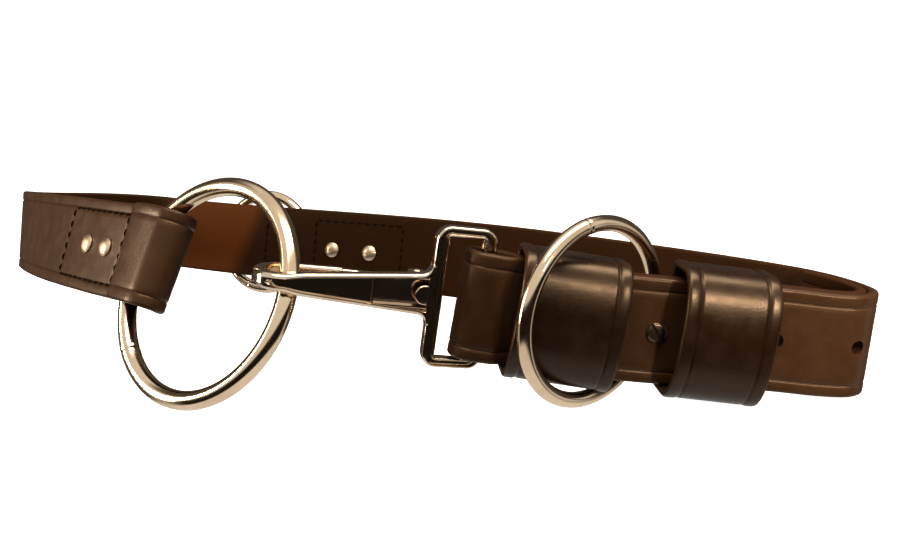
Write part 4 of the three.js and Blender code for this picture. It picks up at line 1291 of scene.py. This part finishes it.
# %% [markdown]
# ## Studio light
# Polished metal shows the room that it stands in. In the photograph the room behind the camera is dark and
# the light comes from above, from the sides and from the pale backdrop, so a face that looks at the camera
# turns black and its edges stay bright. The world is therefore a pale room with a dark band in front and a
# dim back. Two soft boxes light the leather from above and from the left, and a narrow spot from the right
# picks out the right keeper and the belt's right end.

# %% Lights
WARM = (1, 0.82, 0.64)


def lamp(name, kind, place, aim, power):
    """A warm light of a kind at a place, turned so that its own -Z looks at the aim."""
    light = bpy.data.lights.new(name, kind)
    light.energy = power
    light.color = WARM
    holder = bpy.data.objects.new(name, light)
    bpy.context.scene.collection.objects.link(holder)
    holder.location = place
    holder.rotation_euler = (Vector(aim) - Vector(place)).to_track_quat("-Z", "Y").to_euler()
    return light


def soft_box(name, place, aim, size, power):
    """A rectangular area light of a size."""
    light = lamp(name, "AREA", place, aim, power)
    light.shape = "RECTANGLE"
    light.size, light.size_y = size


def narrow_spot(name, place, aim, across, power, radius):
    """A round light of a radius whose cone lights a circle of a given width at the aim, with a soft rim."""
    light = lamp(name, "SPOT", place, aim, power)
    light.shadow_soft_size = radius
    light.spot_size = 2 * math.atan(across / 2 / (Vector(aim) - Vector(place)).length)
    light.spot_blend = 0.3


soft_box("overhead", (0.18, -0.28, 0.95), (0.05, -0.05, 0), (1.1, 0.4), 19)
soft_box("left", (-1.0, -0.18, 0.14), (-0.1, -0.08, 0.04), (0.16, 0.5), 12)
narrow_spot("right spot", (0.6, -1.05, 0.5), (0.217, -0.07, 0.03), 0.212, 118, 0.1)

# %% [markdown]
# The sheet glows, so that it comes out white, and is hidden from diffuse and glossy rays. The world's picture
# is what the metal shows. The camera sees it white, and diffuse rays see only a weak even fill.

# %% Room
DARK_BAND = dict(front=(0.1, -0.3), floor=(-0.6, -0.5), top=(0.16, 0.02))
DARK_BACK = dict(front=(0.0, 0.2), floor=(-0.6, -0.5), top=(0.85, 0.7))
PALE_ROOM, DIM_BACK, DARK_FRONT = rgb(0.8, 0.79, 0.77), rgb(0.08, 0.07, 0.06), rgb(0.012, 0.01, 0.008)
FILL = rgb(0.15, 0.15, 0.15)

world = bpy.data.worlds.new("room")
bpy.context.scene.world = world
world.use_nodes = True
tree = world.node_tree
background = next(n for n in tree.nodes if n.type == "BACKGROUND").inputs
parts = node(tree, "ShaderNodeSeparateXYZ")
linked(tree, (node(tree, "ShaderNodeTexCoord").outputs["Generated"], parts.inputs["Vector"]))


def stepped(axis, low, high):
    """0 below low and 1 above high along an axis, smoothly."""
    return ranged(tree, parts.outputs[axis], low, high, interpolation_type="SMOOTHSTEP")


def product(first, second):
    """One socket times another."""
    times = node(tree, "ShaderNodeMath", operation="MULTIPLY")
    linked(tree, (first, times.inputs[0]), (second, times.inputs[1]))
    return times.outputs[0]


def region(limits):
    """1 in a part of the room: past a limit in Y and between a floor and a top in Z."""
    height = product(stepped("Z", *limits["floor"]), stepped("Z", *limits["top"]))
    return product(stepped("Y", *limits["front"]), height)


ray = node(tree, "ShaderNodeLightPath").outputs
room = mixed(tree, region(DARK_BACK), PALE_ROOM, DIM_BACK)
room = mixed(tree, region(DARK_BAND), room, DARK_FRONT)
room = mixed(tree, ray["Is Diffuse Ray"], room, FILL)
room = mixed(tree, ray["Is Camera Ray"], room, rgb(1, 1, 1))
linked(tree, (room, background["Color"]))
background["Strength"].default_value = 1.0
table.visible_diffuse = False
table.visible_glossy = False
bpy.context.scene.view_settings.view_transform = "Standard"
print("the room is dark in front of the belt, between", DARK_BAND["floor"][1], "and", DARK_BAND["top"][1])
